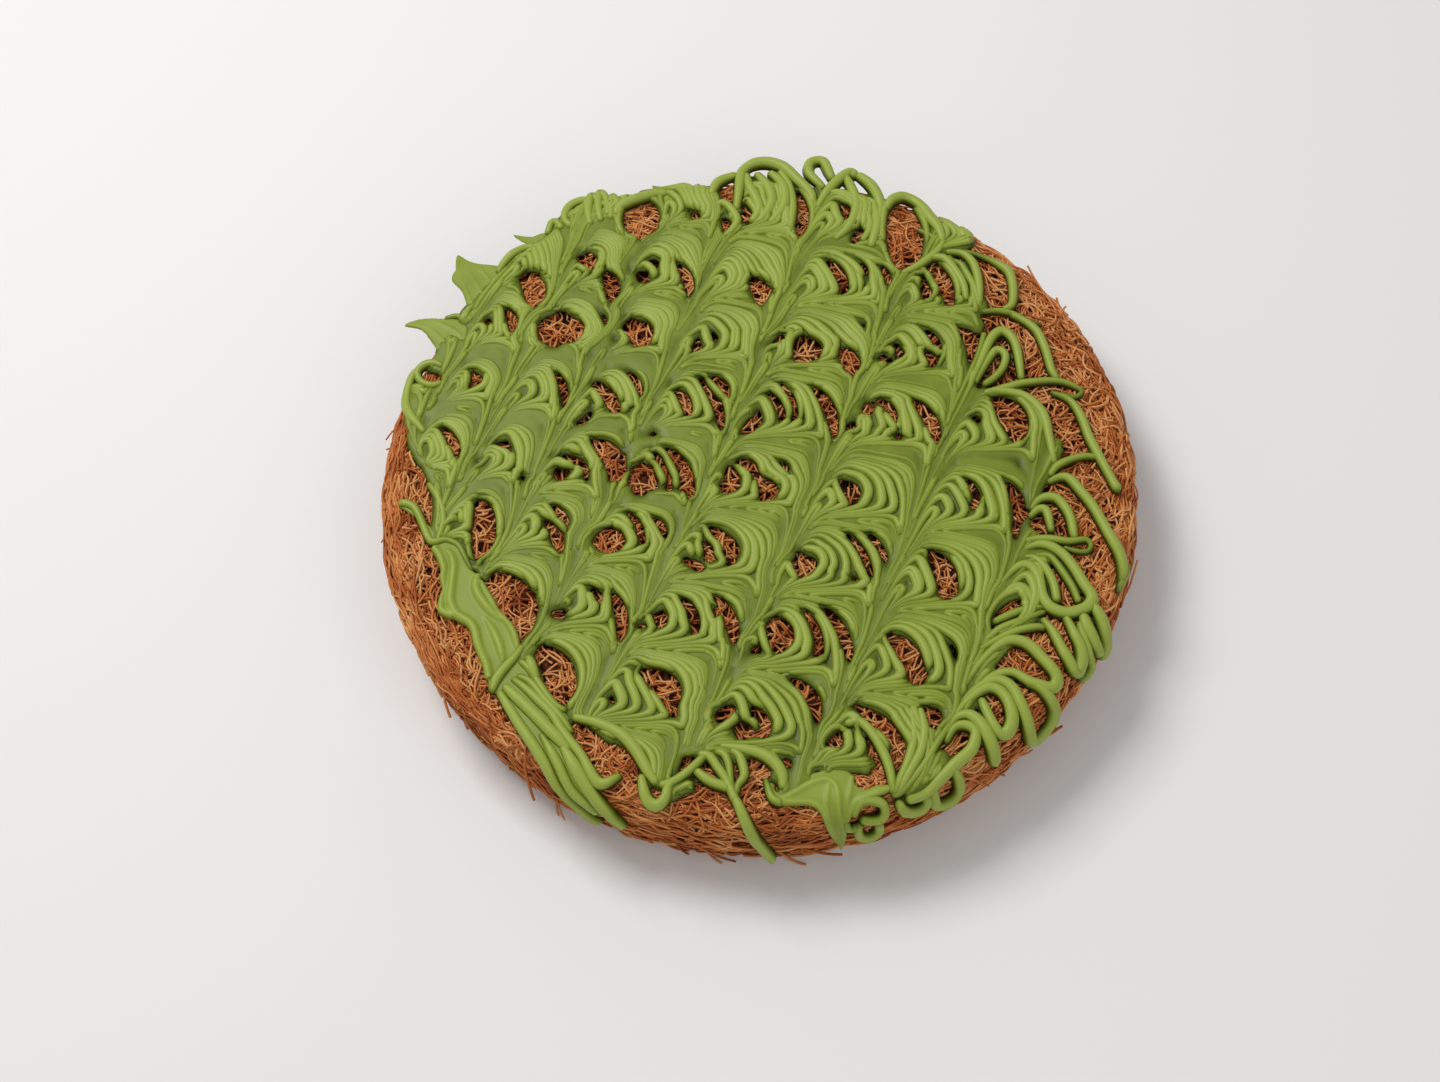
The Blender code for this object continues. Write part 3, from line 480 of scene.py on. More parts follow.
def combed_strands():
    """The combed zig-zag, cut where a gap opened or it is drawn out to nothing: x, y, radius and room beside it."""
    piped, full = piped_zigzag()
    points = combed(piped)
    # Where the skewer draws it out, the piped line is stepped more finely and combed again.
    for _ in range(2):
        shares = np.ceil(step_lengths(points) / (0.7 * STATION)).clip(1, 60).astype(int)
        firsts = np.concatenate([[0], np.cumsum(shares)])
        at = np.interp(np.arange(firsts[-1] + 1), firsts, np.arange(len(piped)))
        piped = np.column_stack([np.interp(at, np.arange(len(piped)), column) for column in piped.T])
        full = np.interp(at, np.arange(len(full)), full)
        points = combed(piped)
    length = step_lengths(points)
    stretch = smooth_run(np.append(length / np.maximum(step_lengths(piped), 1e-9), 1), 5)
    radius = full * STRAND_RADIUS * np.clip(stretch, *STRETCH_LIMITS) ** -THINNING
    travelled = np.concatenate([[0], np.cumsum(length)])
    stations = np.arange(0, travelled[-1], STATION)
    points = np.column_stack([np.interp(stations, travelled, points[:, k]) for k in (0, 1)])
    padded = np.pad(np.interp(stations, travelled, radius), TURN_STATIONS, mode="edge")
    around = np.lib.stride_tricks.sliding_window_view(padded, 2 * TURN_STATIONS + 1)
    radius = smooth_run(around.min(axis=1), 5)
    kept = (radius > THINNEST) & (np.hypot(*points.T) < cream_edge(points, 2) + 2 * EDGE_SLACK)
    points, room = opened(held_back(points))
    for outline in LOOSENED:
        kept &= ~inside(points, outline)
    cuts = (step_lengths(points) > 4 * STATION) | (kept[1:] != kept[:-1])
    columns = (*points.T, radius, room, kept)
    lengths = zip(*[np.split(values, np.flatnonzero(cuts) + 1) for values in columns])
    return [each[:-1] for each in lengths if len(each[0]) * STATION > SHORTEST and each[-1][0]]


def from_end(x, y):
    """How far each station of a strand is from its nearer end."""
    travelled = np.concatenate([[0], np.cumsum(np.hypot(np.diff(x), np.diff(y)))])
    return np.minimum(travelled, travelled[-1] - travelled)


def sunken_ends(x, y):
    """A factor for the radius that lets both ends of a strand sink into the skin."""
    return END_SHARE + (1 - END_SHARE) * np.sin(0.5 * math.pi * np.clip(from_end(x, y) / END_LENGTH, 0, 1))


def rounded_ends(x, y, radius):
    """The radius drawn in to a round tip at both ends."""
    return radius * np.sqrt(1 - (1 - np.clip(from_end(x, y) / radius, 0.03, 1)) ** 2)


def kept_stations(x, y):
    """The stations that a strand needs: all of them in tight bends, and few where it runs straight."""
    heading = np.unwrap(np.arctan2(np.gradient(y), np.gradient(x)))
    turned = np.concatenate([[0], np.cumsum(np.abs(np.diff(heading)))])
    worth = turned / BENT_STATION + np.arange(len(x)) * STATION / STRAIGHT_STATION
    return np.unique(np.append(np.searchsorted(worth, np.arange(0, worth[-1], 1)), len(x) - 1))


def along_curve(stops, count):
    """Points along a smooth curve through these stops; every column is carried along."""
    stops = np.array(stops, dtype=float)
    for _ in range(5):
        new = np.empty((2 * len(stops) - 1, stops.shape[1]))
        padded = np.vstack([2 * stops[0] - stops[1], stops, 2 * stops[-1] - stops[-2]])
        new[::2] = stops
        new[1::2] = (9 * (padded[1:-2] + padded[2:-1]) - padded[:-3] - padded[3:]) / 16
        stops = new
    travelled = np.concatenate([[0], np.cumsum(np.linalg.norm(np.diff(stops[:, :2], axis=0), axis=1))])
    at = np.linspace(0, travelled[-1], count)
    return np.column_stack([np.interp(at, travelled, column) for column in stops.T])


# Strands that left the lace at its edge, and the loops they make over the rim: x, y and radius along each, in mm.
EDGE_STRANDS = [
    [(63, 74, 1.3), (68.5, 73, 1.7), (71.5, 68, 1.8), (73.5, 61.5, 1.7), (73.5, 55, 1.3)],
    [(69.5, 75.5, 1.2), (75, 74, 1.5), (78, 69, 1.8), (78.5, 61, 1.7), (77.5, 53, 1.3)],
    [(69.5, 76, 0.7), (76, 75, 0.9), (82, 71.5, 1.1), (86.5, 67.5, 1.5), (89, 63.5, 1.8), (89, 57, 1.8),
     (87.5, 51.5, 1.6), (84, 50, 1.3)],
    [(77.5, 50.5, 1), (83, 50, 1.3), (88, 48, 1.2), (92, 45, 0.9), (96, 43, 0.6)],
    [(86.5, 48.5, 1.2), (90.5, 45, 1.5), (94, 40, 1.7), (95.5, 32, 1.7), (96, 25, 1.6), (97.5, 21, 1.3)],
    [(73, 19.5, 1.3), (78.5, 20, 1.6), (85.5, 21.5, 1.5), (93.5, 21.5, 1.4), (98.5, 20.5, 1.3), (102.5, 18, 1.1),
     (104, 16, 1), (101.5, 14.5, 1), (97, 16, 1), (94, 17.5, 0.8)],
    [(94.5, 17, 1), (99.5, 13.5, 1.4), (102, 7, 1.7), (103, 0, 1.8), (104.5, -6.5, 1.8), (106.5, -14, 1.7),
     (108.5, -21.5, 1.7)],
    [(88.5, -13.5, 1.2), (91.5, -10, 1.5), (96.5, -8, 1.4), (101, -7.5, 1.3), (105, -8.5, 1.2)],
    [(69.5, 22.5, 1.2), (74.5, 31.5, 1.6), (79, 39.5, 1.8), (83, 42, 1.8), (86, 38, 1.8), (86.5, 31, 1.7),
     (86, 22.5, 1.3)],
    [(71.5, 23.5, 1), (76, 30.5, 1.4), (80, 35, 1.6), (82.5, 32.5, 1.6), (80.5, 27.5, 1.5), (76.5, 24, 1.4),
     (73.5, 22.5, 1.2)],
    [(77.5, 42.5, 1.2), (74, 34, 1.2), (69.5, 26, 1.2), (62, 13, 1.2)],
    [(74, 20, 1.3), (80.5, 19, 1.6), (86.5, 16, 1.8), (90.5, 9.5, 1.9), (91, 2, 1.8), (91, -4.5, 1.6),
     (91, -9.5, 1.2)],
    [(87.5, -15.5, 1.1), (91.5, -14, 1.5), (94.5, -15, 1.8), (97, -19.5, 1.9), (100, -26, 1.9), (102.5, -34.5, 1.9),
     (104.5, -42.5, 1.8), (104.5, -48, 1.6), (103.5, -51.5, 0.9)],
    [(107.5, -44.5, 1), (105.5, -48.5, 1.3), (103.5, -52, 1.2), (102.5, -54.5, 0.6)],
    [(81, -24.5, 1), (83.5, -21.5, 1.4), (86.5, -20.5, 1.7), (89.5, -21.5, 1.8), (91.5, -25, 1.8), (92.5, -29, 1.8),
     (92.5, -33.5, 1.7), (92.5, -36.5, 1.3)],
    [(80, -27, 1), (83, -24.5, 1.5), (85.5, -25, 1.7), (86, -28.5, 1.6), (86, -33, 1.2)],
    [(77, -35, 1.2), (80.5, -34.5, 1.4), (85, -35, 1.5), (90.5, -36.5, 1.4), (95.5, -36.5, 1.2), (97, -38.5, 1.1),
     (95.5, -40.5, 1), (92, -40, 1), (88.5, -38, 0.8)],
    [(67.5, -49, 1), (70.5, -46, 1.3), (73.5, -43.5, 1.6), (76.5, -43, 1.8), (78.5, -45, 1.9), (79.5, -49, 2),
     (79.5, -53.5, 2), (81, -58, 2.1), (85, -60.5, 2.1), (89, -60.5, 2.1), (92.5, -59, 2.1), (94, -56, 2.1),
     (92.5, -52, 2.1), (90.5, -46, 2), (88, -41, 1.9), (84.5, -37.5, 1.8), (80.5, -36.5, 1.5), (76, -38, 1)],
    [(81.5, -39.5, 1), (84.5, -41.5, 1.3), (87, -47, 1.4), (89, -52.5, 1.4), (90, -58, 1.3)],
    [(76, -40, 1), (79.5, -41, 1.4), (82, -45, 1.7), (83.5, -50.5, 1.7), (83.5, -57, 1.6)],
    [(67, -53.5, 1), (70.5, -50.5, 1.5), (73, -50, 1.7), (75, -51.5, 1.7), (76, -54.5, 1.6), (76, -57.5, 1.3)],
    [(63.5, -61, 1.2), (67.5, -59.5, 1.5), (72.5, -58, 1.4), (77.5, -57.5, 1.2), (79.5, -58, 0.9)],
    [(90.5, -61, 1.6), (90.5, -65, 2), (92, -70, 2.1), (95, -73.5, 1.9)],
    [(93.5, -58, 1.6), (95, -63, 2.1), (96.5, -68.5, 2.2), (100, -75, 1.8)],
    [(78, -61, 1.2), (80.5, -66, 1.7), (82.5, -73, 1.9), (84.5, -78.5, 2), (86.5, -77, 2), (87.5, -72.5, 2),
     (86.5, -67, 1.8), (85, -61, 1.4)],
    [(89, -63.5, 1.3), (89, -69, 1.6), (90, -74, 1.7), (91.5, -77, 1.7), (89.5, -80, 1.5), (87, -80.5, 1.2)],
    [(60, -67, 1.2), (65, -63.5, 1.5), (71, -61.5, 1.4), (78, -59.5, 1.1), (80, -59, 0.8)],
    [(58, -69.5, 1.2), (64.5, -66.5, 1.5), (70.5, -64.5, 1.5), (76.5, -64, 1.4), (79, -65, 1)],
    [(52, -81, 1), (56.5, -75, 1.4), (62, -70, 1.6), (67.5, -67.5, 1.9), (72.5, -69.5, 2.1), (76, -74.5, 2.1),
     (78.5, -79, 2.1), (78.5, -82, 2), (76, -83.5, 2), (71, -81.5, 1.9), (67, -78, 1.7), (62, -78, 1.6),
     (57, -80.5, 1.4), (51.5, -84.5, 1)],
    [(47.5, -90.5, 1), (52.5, -84, 1.4), (58, -80.5, 1.7), (62.5, -80, 1.9), (66, -83.5, 2.1), (67.5, -89.5, 2.1),
     (69, -95.5, 2.1), (72, -99, 2.1), (75, -98.5, 2.1), (78, -95, 2.1), (78, -90, 2.1), (76, -86.5, 2),
     (73.5, -83.5, 1.8), (69.5, -81.5, 1.3)],
    [(46, -93, 1), (49.5, -88, 1.4), (53.5, -84.5, 1.7), (58.5, -82, 1.9), (62, -83.5, 2), (64, -87.5, 2.1),
     (64, -92, 2.1), (62, -95.5, 2), (59.5, -96, 2), (58, -92.5, 1.9), (57, -88.5, 1.8), (56, -84.5, 1.4)],
    [(44.5, -95.5, 1), (48, -90.5, 1.5), (52, -90, 2), (55, -93.5, 2.3), (56.5, -98, 2.3), (57.5, -102, 2.1),
     (58, -105, 1.8)],
    [(44, -98, 1), (47, -93.5, 1.5), (50.5, -93, 1.8), (53, -95.5, 1.9), (51, -100, 1.9), (46, -103.5, 1.9),
     (40.5, -107.5, 1.8), (36, -111, 1.7), (30, -112.5, 1.5)],
    [(28, -112, 1.5), (29, -114.5, 1.8), (31.5, -116.5, 2), (35, -116.5, 2), (37, -114, 1.9), (36, -111, 1.6)],
    [(38, -108, 1.4), (39, -112.5, 1.9), (41, -116.5, 2.1), (44, -117.5, 2.1), (47, -115.5, 2.1), (47.5, -112, 2),
     (46, -107, 1.8), (44, -103.5, 1.4)],
    [(14.5, -116, 1.3), (16, -113.5, 1.4), (18, -112, 1.5), (21, -112, 1.6), (23.5, -113, 1.7), (24, -115.5, 1.7),
     (22.5, -117.5, 1.7), (19.5, -117.5, 1.6), (16.5, -116.5, 1.4)],
    [(16.5, -118, 1.4), (16.5, -122, 1.7), (18, -126.5, 1.9), (21, -128, 1.9), (23.5, -125.5, 1.9), (23, -121, 1.8),
     (22, -118.5, 1.5)],
    [(12.5, -116.5, 1.2), (13, -119, 1.5), (14.5, -120, 1.4), (16, -118.5, 1.2)],
    [(-29, -97, 1.5), (-26.5, -100, 1.8), (-24, -102, 1.8), (-21, -103.5, 1.8), (-19, -105, 1.5)],
    [(-28, -92.5, 1.5), (-24.5, -93.5, 1.7), (-22.5, -97, 1.7), (-20.5, -101, 1.7), (-19, -105.5, 1.7),
     (-18, -109, 1.7)],
    [(-23, -92, 1.2), (-20, -93.5, 1.5), (-19, -97.5, 1.4), (-19, -102.5, 1.3), (-18, -107, 1.2)],
    [(-18.5, -92, 1.3), (-16, -94, 1.6), (-15, -97.5, 1.7), (-15, -101, 1.6), (-17, -103.5, 1.3), (-18, -106.5, 1.2)],
    [(-19.5, -105, 1.4), (-17.5, -109.5, 1.7), (-16, -113.5, 1.9), (-14.5, -118, 2), (-13.5, -122.5, 2),
     (-12, -130, 2), (-10.5, -136, 1.9)],
    [(15.5, -88.5, 1.4), (20, -88, 1.7), (23.5, -92.5, 1.8), (26, -99.5, 1.8), (27, -106, 1.6), (26.5, -111, 1.2)],
    [(38, -85.5, 1.3), (38.5, -93, 1.8), (36, -100.5, 1.8), (31, -107, 1.6), (27.5, -111, 1.2)],
    [(35.5, -85, 1.3), (35.5, -93.5, 1.7), (33, -101, 1.7), (29.5, -107, 1.5), (26.5, -111, 1.2)],
    [(47.5, -90.5, 1.2), (41.5, -97.5, 1.4), (36.5, -104, 1.4), (29, -110, 1.3), (26, -111, 1)],
    [(-21.5, -90.5, 1.3), (-14.5, -92.5, 1.8), (-9, -95, 2.1), (-5.5, -98.5, 2.2), (-4, -102.5, 2),
     (-4.5, -107, 1.4)],
    [(-9, -102, 0.8), (-8.5, -105.5, 1.3), (-7.5, -109, 1.5), (-4.5, -110.5, 1.4)],
    [(3.5, 101.5, 1.5), (5.5, 110.5, 2), (7, 117.5, 2.2), (10, 120.5, 2.3), (15.5, 121, 2.4), (21, 118, 2.4),
     (25, 112, 2.2), (29, 105, 2), (29, 100, 1.5)],
    [(-4.5, 108.5, 1.5), (-2, 113.5, 2), (1, 116, 2.1), (6, 117.5, 1.8)],
    [(8.5, 117.5, 1.5), (9, 111, 2), (11, 104.5, 2.1), (11, 100, 2), (7.5, 96, 1.4)],
    [(11.5, 117, 1.5), (14.5, 111.5, 2), (16, 105.5, 2.2), (14.5, 100.5, 2.1), (10, 95.5, 1.4)],
    [(16, 117, 1.5), (19.5, 111.5, 2), (20.5, 106, 2.3), (19, 100, 2.2), (13.5, 94.5, 1.4)],
    [(19.5, 117, 1.5), (22, 110.5, 1.7), (22.5, 102, 1.8), (21, 94, 1.7), (19, 87.5, 1.3)],
    [(37, 109.5, 1.5), (36, 114.5, 2), (35, 118.5, 2.1), (32.5, 119.5, 2.1), (30, 118, 2.1), (29.5, 114, 2),
     (32, 109.5, 1.7), (34, 106.5, 1.4)],
    [(30, 98.5, 1.4), (33.5, 104, 1.8), (38, 109, 2.1), (43, 112.5, 2.1), (45.5, 110, 1.8)],
    [(41, 112.5, 1.5), (42.5, 106.5, 2), (43.5, 100.5, 2.1), (42.5, 94.5, 2.1), (39, 89, 1.8), (34, 85, 1.3)],
    [(45, 112, 1.7), (49, 106.5, 2.2), (51, 100.5, 2.2), (51.5, 94.5, 1.7)],
    [(49, 98.5, 1.5), (49.5, 91, 2), (47.5, 84.5, 2), (45.5, 80, 1.5)],
    [(43, 99, 1.1), (46.5, 94, 1.6), (46.5, 88, 1.7), (43, 83, 1.4)],
    [(52.5, 94.5, 1.4), (55, 98.5, 2), (59.5, 100, 2.2), (63.5, 97, 2.2), (66.5, 90, 2.1), (69, 84.5, 2),
     (69.5, 78.5, 1.6)],
    [(62, 86, 0.9), (65.5, 83, 1.2), (68, 80.5, 1.2)],
    [(54, 68.5, 1.3), (59, 70.5, 1.6), (64, 73.5, 1.7), (68, 77, 1.6), (70.5, 81, 1.3)],
    [(-3.5, 104.5, 1.4), (-0.5, 105.5, 1.7), (2, 102.5, 1.8), (3.5, 97.5, 1.8), (1, 93.5, 1.6), (-2, 91.5, 1.3)],
    [(-44.5, -96.5, 1.4), (-44.2, -101, 1.8), (-43, -104.5, 1.9), (-40.5, -106, 1.9), (-38, -104.5, 1.9),
     (-37, -101.5, 1.7), (-34.5, -99.5, 1.4)],
    [(-63.5, -76, 1.5), (-56, -79, 1.9), (-49, -84, 2.2), (-45, -90, 2.2), (-42.5, -96, 2), (-40, -101, 1.5)],
    [(-40, -101, 1.5), (-35, -100, 1.6), (-29.5, -96.5, 1.6), (-25, -92.5, 1.4)],
    [(-112, 4, 1.6), (-107.5, 1.5, 1.6), (-105, -5, 1.5), (-102.5, -11.5, 1.5), (-98.5, -11.3, 1.3),
     (-94.5, -13.5, 1.2), (-92.5, -18, 1.1), (-90.5, -23.5, 0.8)],
    [(-103, 10, 1.2), (-100.5, 5.5, 1.5), (-98.5, -1, 1.5), (-99, -7, 1.4), (-101, -12, 1.2)],
    [(-84.5, -64.5, 1.4), (-81.5, -71, 1.8), (-78.5, -77, 1.8), (-75, -83, 1.8), (-71.5, -89.5, 1.8),
     (-69.5, -95.5, 1.8), (-67.5, -102, 1.8), (-66, -109.5, 1.8), (-63, -113, 1.5)],
    [(-83, -63, 1.4), (-79.5, -67.5, 2.1), (-75, -73, 2.3), (-71, -78.5, 2.3), (-67.5, -83, 2.2),
     (-64.5, -87.5, 1.5)],
    [(-73, -80, 1.2), (-70, -86, 1.6), (-67.5, -91, 1.7), (-65, -97.5, 1.8), (-62, -102, 1.8), (-59.5, -106.5, 1.5)],
    [(-67, -84.5, 1.5), (-64, -90.5, 2), (-61, -96, 2), (-58, -101.5, 2), (-55.5, -107, 2), (-54.5, -114, 1.6)],
    [(-80.5, -61, 1.3), (-76.5, -65, 1.6), (-72.5, -70, 1.8), (-69, -74.5, 1.8), (-67, -79, 1.8), (-64.5, -83.5, 1.8),
     (-61.5, -88.5, 1.8), (-59, -94, 1.8), (-56.5, -97.5, 1.8), (-53.5, -97.5, 1.6), (-50, -96, 1.2)],
    [(-78, -55.5, 1.2), (-75.5, -58, 1.5), (-73, -62.5, 1.5), (-70.5, -67.5, 1.5), (-67.5, -72, 1.4),
     (-64.5, -74, 1.2)],
    [(-79, -60.5, 1.2), (-75, -63, 1.5), (-71.5, -68.5, 1.6), (-68, -73.5, 1.6), (-65.5, -77.5, 1.4),
     (-63.5, -81.5, 1.1)],
    [(-76, -50.5, 1.2), (-79, -54.5, 1.6), (-82.3, -58, 1.8), (-85, -61.5, 1.8), (-86.5, -65.5, 1.3)],
    [(-77, 87, 1.3), (-76, 89.5, 1.5), (-72.5, 94, 1.8), (-67.5, 97, 1.8), (-63.5, 96, 1.4)],
    [(-95.5, 72, 1), (-91.5, 72.3, 1.2), (-87.8, 70, 1.2)],
    [(-60, 101, 1.5), (-58.3, 105.5, 1.6), (-56.5, 106, 1.6), (-54.5, 102, 1.6)],
    [(-51, 102.5, 1.6), (-53.5, 106, 1.7), (-53, 110, 1.8), (-50.5, 113, 1.9), (-46, 113.5, 1.8), (-46, 106, 1.6)],
    [(-45, 102, 1.5), (-45.5, 108, 1.8), (-44.3, 115, 1.9), (-42.5, 113.5, 1.6), (-42.3, 105, 1.5)],
    [(-41.5, 103, 1.5), (-42, 109.5, 1.8), (-41.3, 116, 1.9), (-39.3, 113.5, 1.7), (-39, 105, 1.6)],
    [(-38.2, 103.5, 1.5), (-37.8, 109.5, 1.7), (-37, 113.8, 1.7), (-35.5, 110.5, 1.6), (-35.5, 104.5, 1.5)],
    [(-36, 104.5, 1.6), (-35.8, 107.5, 1.9), (-33.5, 109.6, 2.1), (-30, 111, 2.2), (-25.5, 112.2, 2.2),
     (-21.5, 113, 2), (-18, 112, 1.5)],
    [(-104.5, 53.5, 1.5), (-107, 50.5, 1.8), (-108.7, 45, 1.9), (-108.7, 39.5, 1.9), (-106.5, 34, 1.7),
     (-103, 28, 1.4)],
    [(-96, 52.5, 1.3), (-99, 54.5, 1.5), (-102.5, 54.5, 1.6), (-105, 52, 1.6), (-103.5, 48, 1.5), (-100, 46, 1.5),
     (-96.5, 47, 1.3)],
]

# Thin sheets of cream, by their outlines in mm: the folded one at the left, the three pointed wings that the skewer
# pulled out behind it, the leaf over the rim behind, what lies under the bundle at the left, and the wedge in front.
SHEETS = [
    [(-107, 1), (-111.5, 4.5), (-113, 3.5), (-107, -2.5), (-104, -9), (-102.5, -13), (-100.5, -16), (-99.5, -20),
     (-99.3, -24.5), (-99, -28.5), (-100, -31.5), (-101, -35), (-99.5, -36.5), (-97.5, -38.5), (-95, -40.5),
     (-92.5, -42.5), (-91, -45), (-90.5, -48), (-89.5, -51.5), (-88, -55), (-87, -59), (-87.5, -64), (-85, -65),
     (-80, -62), (-77.5, -59.5), (-75, -58.5), (-75.5, -55), (-76, -50.5), (-78, -51), (-78.5, -48), (-79.5, -44.5),
     (-81.5, -41), (-83.5, -38), (-85, -34), (-86.5, -30.5), (-88, -27), (-90, -23.5), (-91.5, -21), (-92.5, -17.5),
     (-94, -14), (-97, -12), (-100, -9.5), (-104, -4)],
    [(-90.5, 100), (-87, 96), (-83.5, 93.5), (-79.5, 92), (-76, 90), (-77, 85), (-80.5, 74.5), (-84.5, 69.5),
     (-86.5, 70.5), (-88, 77), (-89.5, 83), (-92.5, 88), (-92, 91.5), (-89.5, 95)],
    [(-72.5, 107.5), (-69, 106), (-64, 104), (-60, 102.5), (-57, 97), (-58, 91), (-63, 94), (-65.5, 98), (-69, 102)],
    [(-109, 73), (-103.5, 74), (-96.5, 72.5), (-91, 71), (-88, 68), (-88.5, 62), (-91, 55.5), (-95.5, 53.5),
     (-97.5, 57), (-99, 62), (-100.5, 65.5), (-104, 70)],
    [(-24, 121.5), (-20, 122), (-16, 119.5), (-15, 114), (-17.5, 107), (-21, 105), (-22.5, 112), (-21, 115)],
    [(-85.5, -64.5), (-79, -74), (-72, -87), (-66, -102), (-60, -104), (-60.5, -92), (-63.5, -82), (-64.5, -75.5),
     (-68, -71), (-72, -63.5), (-74.5, -57.5), (-78.5, -56)],
    [(-9, -104), (-9, -107.5), (-8, -109.5), (-6, -111), (-2.5, -111), (1, -111.5), (3.5, -112), (5.5, -113.5),
     (7, -116.5), (8, -120), (9.5, -126), (11, -131), (12.5, -136), (13, -131), (13, -125), (12.5, -119),
     (13.5, -116), (15.5, -113.5), (17.5, -112), (21, -111), (24.5, -110), (26.5, -109), (23, -108), (19.5, -109),
     (17, -108), (16, -106), (15.5, -103.5), (12, -102), (7, -102), (3, -103), (-1, -105), (-5, -107), (-6.5, -106.5),
     (-7, -104)],
]
SHEET_HEIGHT = 1.1 * MM
SHEET_VOXEL = 0.4 * MM
# The flat sheets are painted no darker than this share of the way up the painted groove shade.
SHEET_SHADE_LIMIT = 0.45

# The ridges on those sheets, x, y and radius in mm: rolled edges, and fine lines that run together towards each tip.
SHEET_RIDGES = [
    [(-98, -15, 1.1), (-96.5, -17.5, 1.3), (-96, -21, 1.4), (-96.5, -25, 1.4), (-97, -28.5, 1.4), (-97.5, -32.5, 1.5),
     (-96.5, -36.5, 1.6), (-95, -38.5, 1.6), (-92, -41, 1.6), (-90.5, -44, 1.6), (-90, -47.5, 1.6), (-89, -51.5, 1.5),
     (-87.5, -56, 1.5), (-87, -60.5, 1.4)],
    [(-102, -13.5, 1.3), (-100.5, -16, 1.4), (-99.5, -19, 1.4), (-99, -22, 1.3), (-99.5, -24.5, 1.2),
     (-99, -28.5, 1)],
    [(-99, -28.5, 1), (-100, -31.5, 1.2), (-100.5, -35, 1.3), (-99.5, -36.5, 1.4), (-97, -38, 1.4)],
    [(-88, -27, 0.9), (-86.5, -30.5, 0.9), (-85, -34, 1), (-83.5, -38, 1), (-81.5, -41, 1.2), (-79.5, -44.5, 1.3),
     (-78.5, -48, 1.3), (-78, -51.5, 1)],
    [(-88.5, -24.5, 1), (-89.5, -28, 1.4), (-89, -31.5, 1.6), (-87, -35.5, 1.6), (-85, -38.5, 1.4),
     (-82.5, -41.5, 1)],
    [(-87.5, -39.5, 0.8), (-85.5, -43.5, 1.2), (-84, -47.5, 1.4), (-83, -51.5, 1.4), (-82.5, -55.5, 1)],
    [(-83.5, 68.5, 0.9), (-86.5, 78, 0.9), (-89, 87, 0.8), (-90.5, 93.5, 0.8), (-90.5, 99.5, 0.5)],
    [(-80.5, 72, 0.9), (-83, 81, 0.9), (-86, 89, 0.8), (-89.5, 96.5, 0.6)],
    [(-78, 78, 0.9), (-79.5, 84, 0.9), (-82.5, 90, 0.8), (-87.5, 95, 0.5)],
    [(-87.5, 81, 0.8), (-89.5, 86.5, 0.7), (-92, 89, 0.4)],
    [(-60, 95, 0.9), (-63, 98.5, 0.9), (-67, 102.5, 0.8), (-71.8, 107, 0.5)],
    [(-59, 99, 0.8), (-63, 101.5, 0.8), (-67.5, 104.5, 0.6)],
    [(-92.5, 57, 0.9), (-96, 63, 0.9), (-100, 68.5, 0.8), (-104.5, 71.8, 0.7), (-108.7, 73, 0.4)],
    [(-90, 64, 0.9), (-94.5, 68.5, 0.9), (-99, 71.5, 0.7), (-103.5, 73, 0.5)],
    [(-95.5, 56, 0.8), (-98, 61.5, 0.8), (-101, 67, 0.6)],
    [(-20, 106, 0.9), (-18.7, 110, 0.9), (-19.5, 115, 0.9), (-23, 120.8, 0.6)],
    [(-17.5, 109, 0.8), (-16.5, 114, 0.8), (-18, 119, 0.7)],
    [(-8, -109, 1), (-4, -109, 1.2), (0.5, -107, 1.2), (5.5, -105, 1.2), (9, -105, 1.2), (11, -107.5, 1.2),
     (11, -111, 1.2), (11, -115.5, 1.1), (12, -120, 1.1), (12.8, -128, 0.9), (12.5, -135, 0.4)],
    [(-6.5, -110, 1), (-1.5, -110.5, 1.1), (3, -111, 1.1), (6, -113, 1.2), (7.5, -117, 1.2), (8.8, -122, 1.1),
     (10.7, -129, 0.8)],
    [(9, -105, 0.8), (8.5, -108.5, 1), (7.5, -112, 1), (8, -116, 1), (10, -122.5, 0.6)],
    [(16, -104.5, 0.8), (15, -108.5, 1), (13.5, -112, 1), (12, -116, 0.8)],
    [(26.5, -109, 1), (22.5, -110, 1.3), (19, -111, 1.3), (15.5, -112.5, 1.2), (13, -116.5, 1), (12, -118.5, 0.8)],
]


def tubes(name, paths, sides):
    """A mesh of round tubes, one along each path: its points, and its radii."""
    curve = bpy.data.curves.new(name, "CURVE")
    curve.dimensions = "3D"
    curve.bevel_depth = 1
    curve.bevel_resolution = sides // 2 - 2
    curve.use_fill_caps = True
    for points, radii in paths:
        spline = curve.splines.new("POLY")
        spline.points.add(len(points) - 1)
        spline.points.foreach_set("co", np.column_stack([points, np.ones(len(points))]).ravel())
        spline.points.foreach_set("radius", np.asarray(radii, dtype=float))
    return as_mesh(placed(name, curve))


def places_of(obj):
    """Where the object's vertices are, one row each."""
    places = np.empty(3 * len(obj.data.vertices))
    obj.data.vertices.foreach_get("co", places)
    return places.reshape(-1, 3)


def flat_tubes(name, paths, squash):
    """Tubes along plan paths, their heights scaled about the sheet that the strands lie on."""
    level = [(np.column_stack([points, np.zeros(len(points))]), radii) for points, radii in paths]
    made = tubes(name, level, STRAND_SIDES)
    made.data.vertices.foreach_set("co", (places_of(made) * (1, 1, squash)).ravel())
    return made


def closed_curve(outline):
    """A smooth ring through these points: a curve is run on past its start, and cut where it comes by again."""
    ring = along_curve(outline + outline[:3], 40 * (len(outline) + 3)) * MM
    away = np.hypot(*(ring - np.array(outline[1]) * MM).T)
    half = len(ring) // 2
    return ring[np.argmin(away[: len(ring) // 3]) : half + np.argmin(away[half:]) : 6]


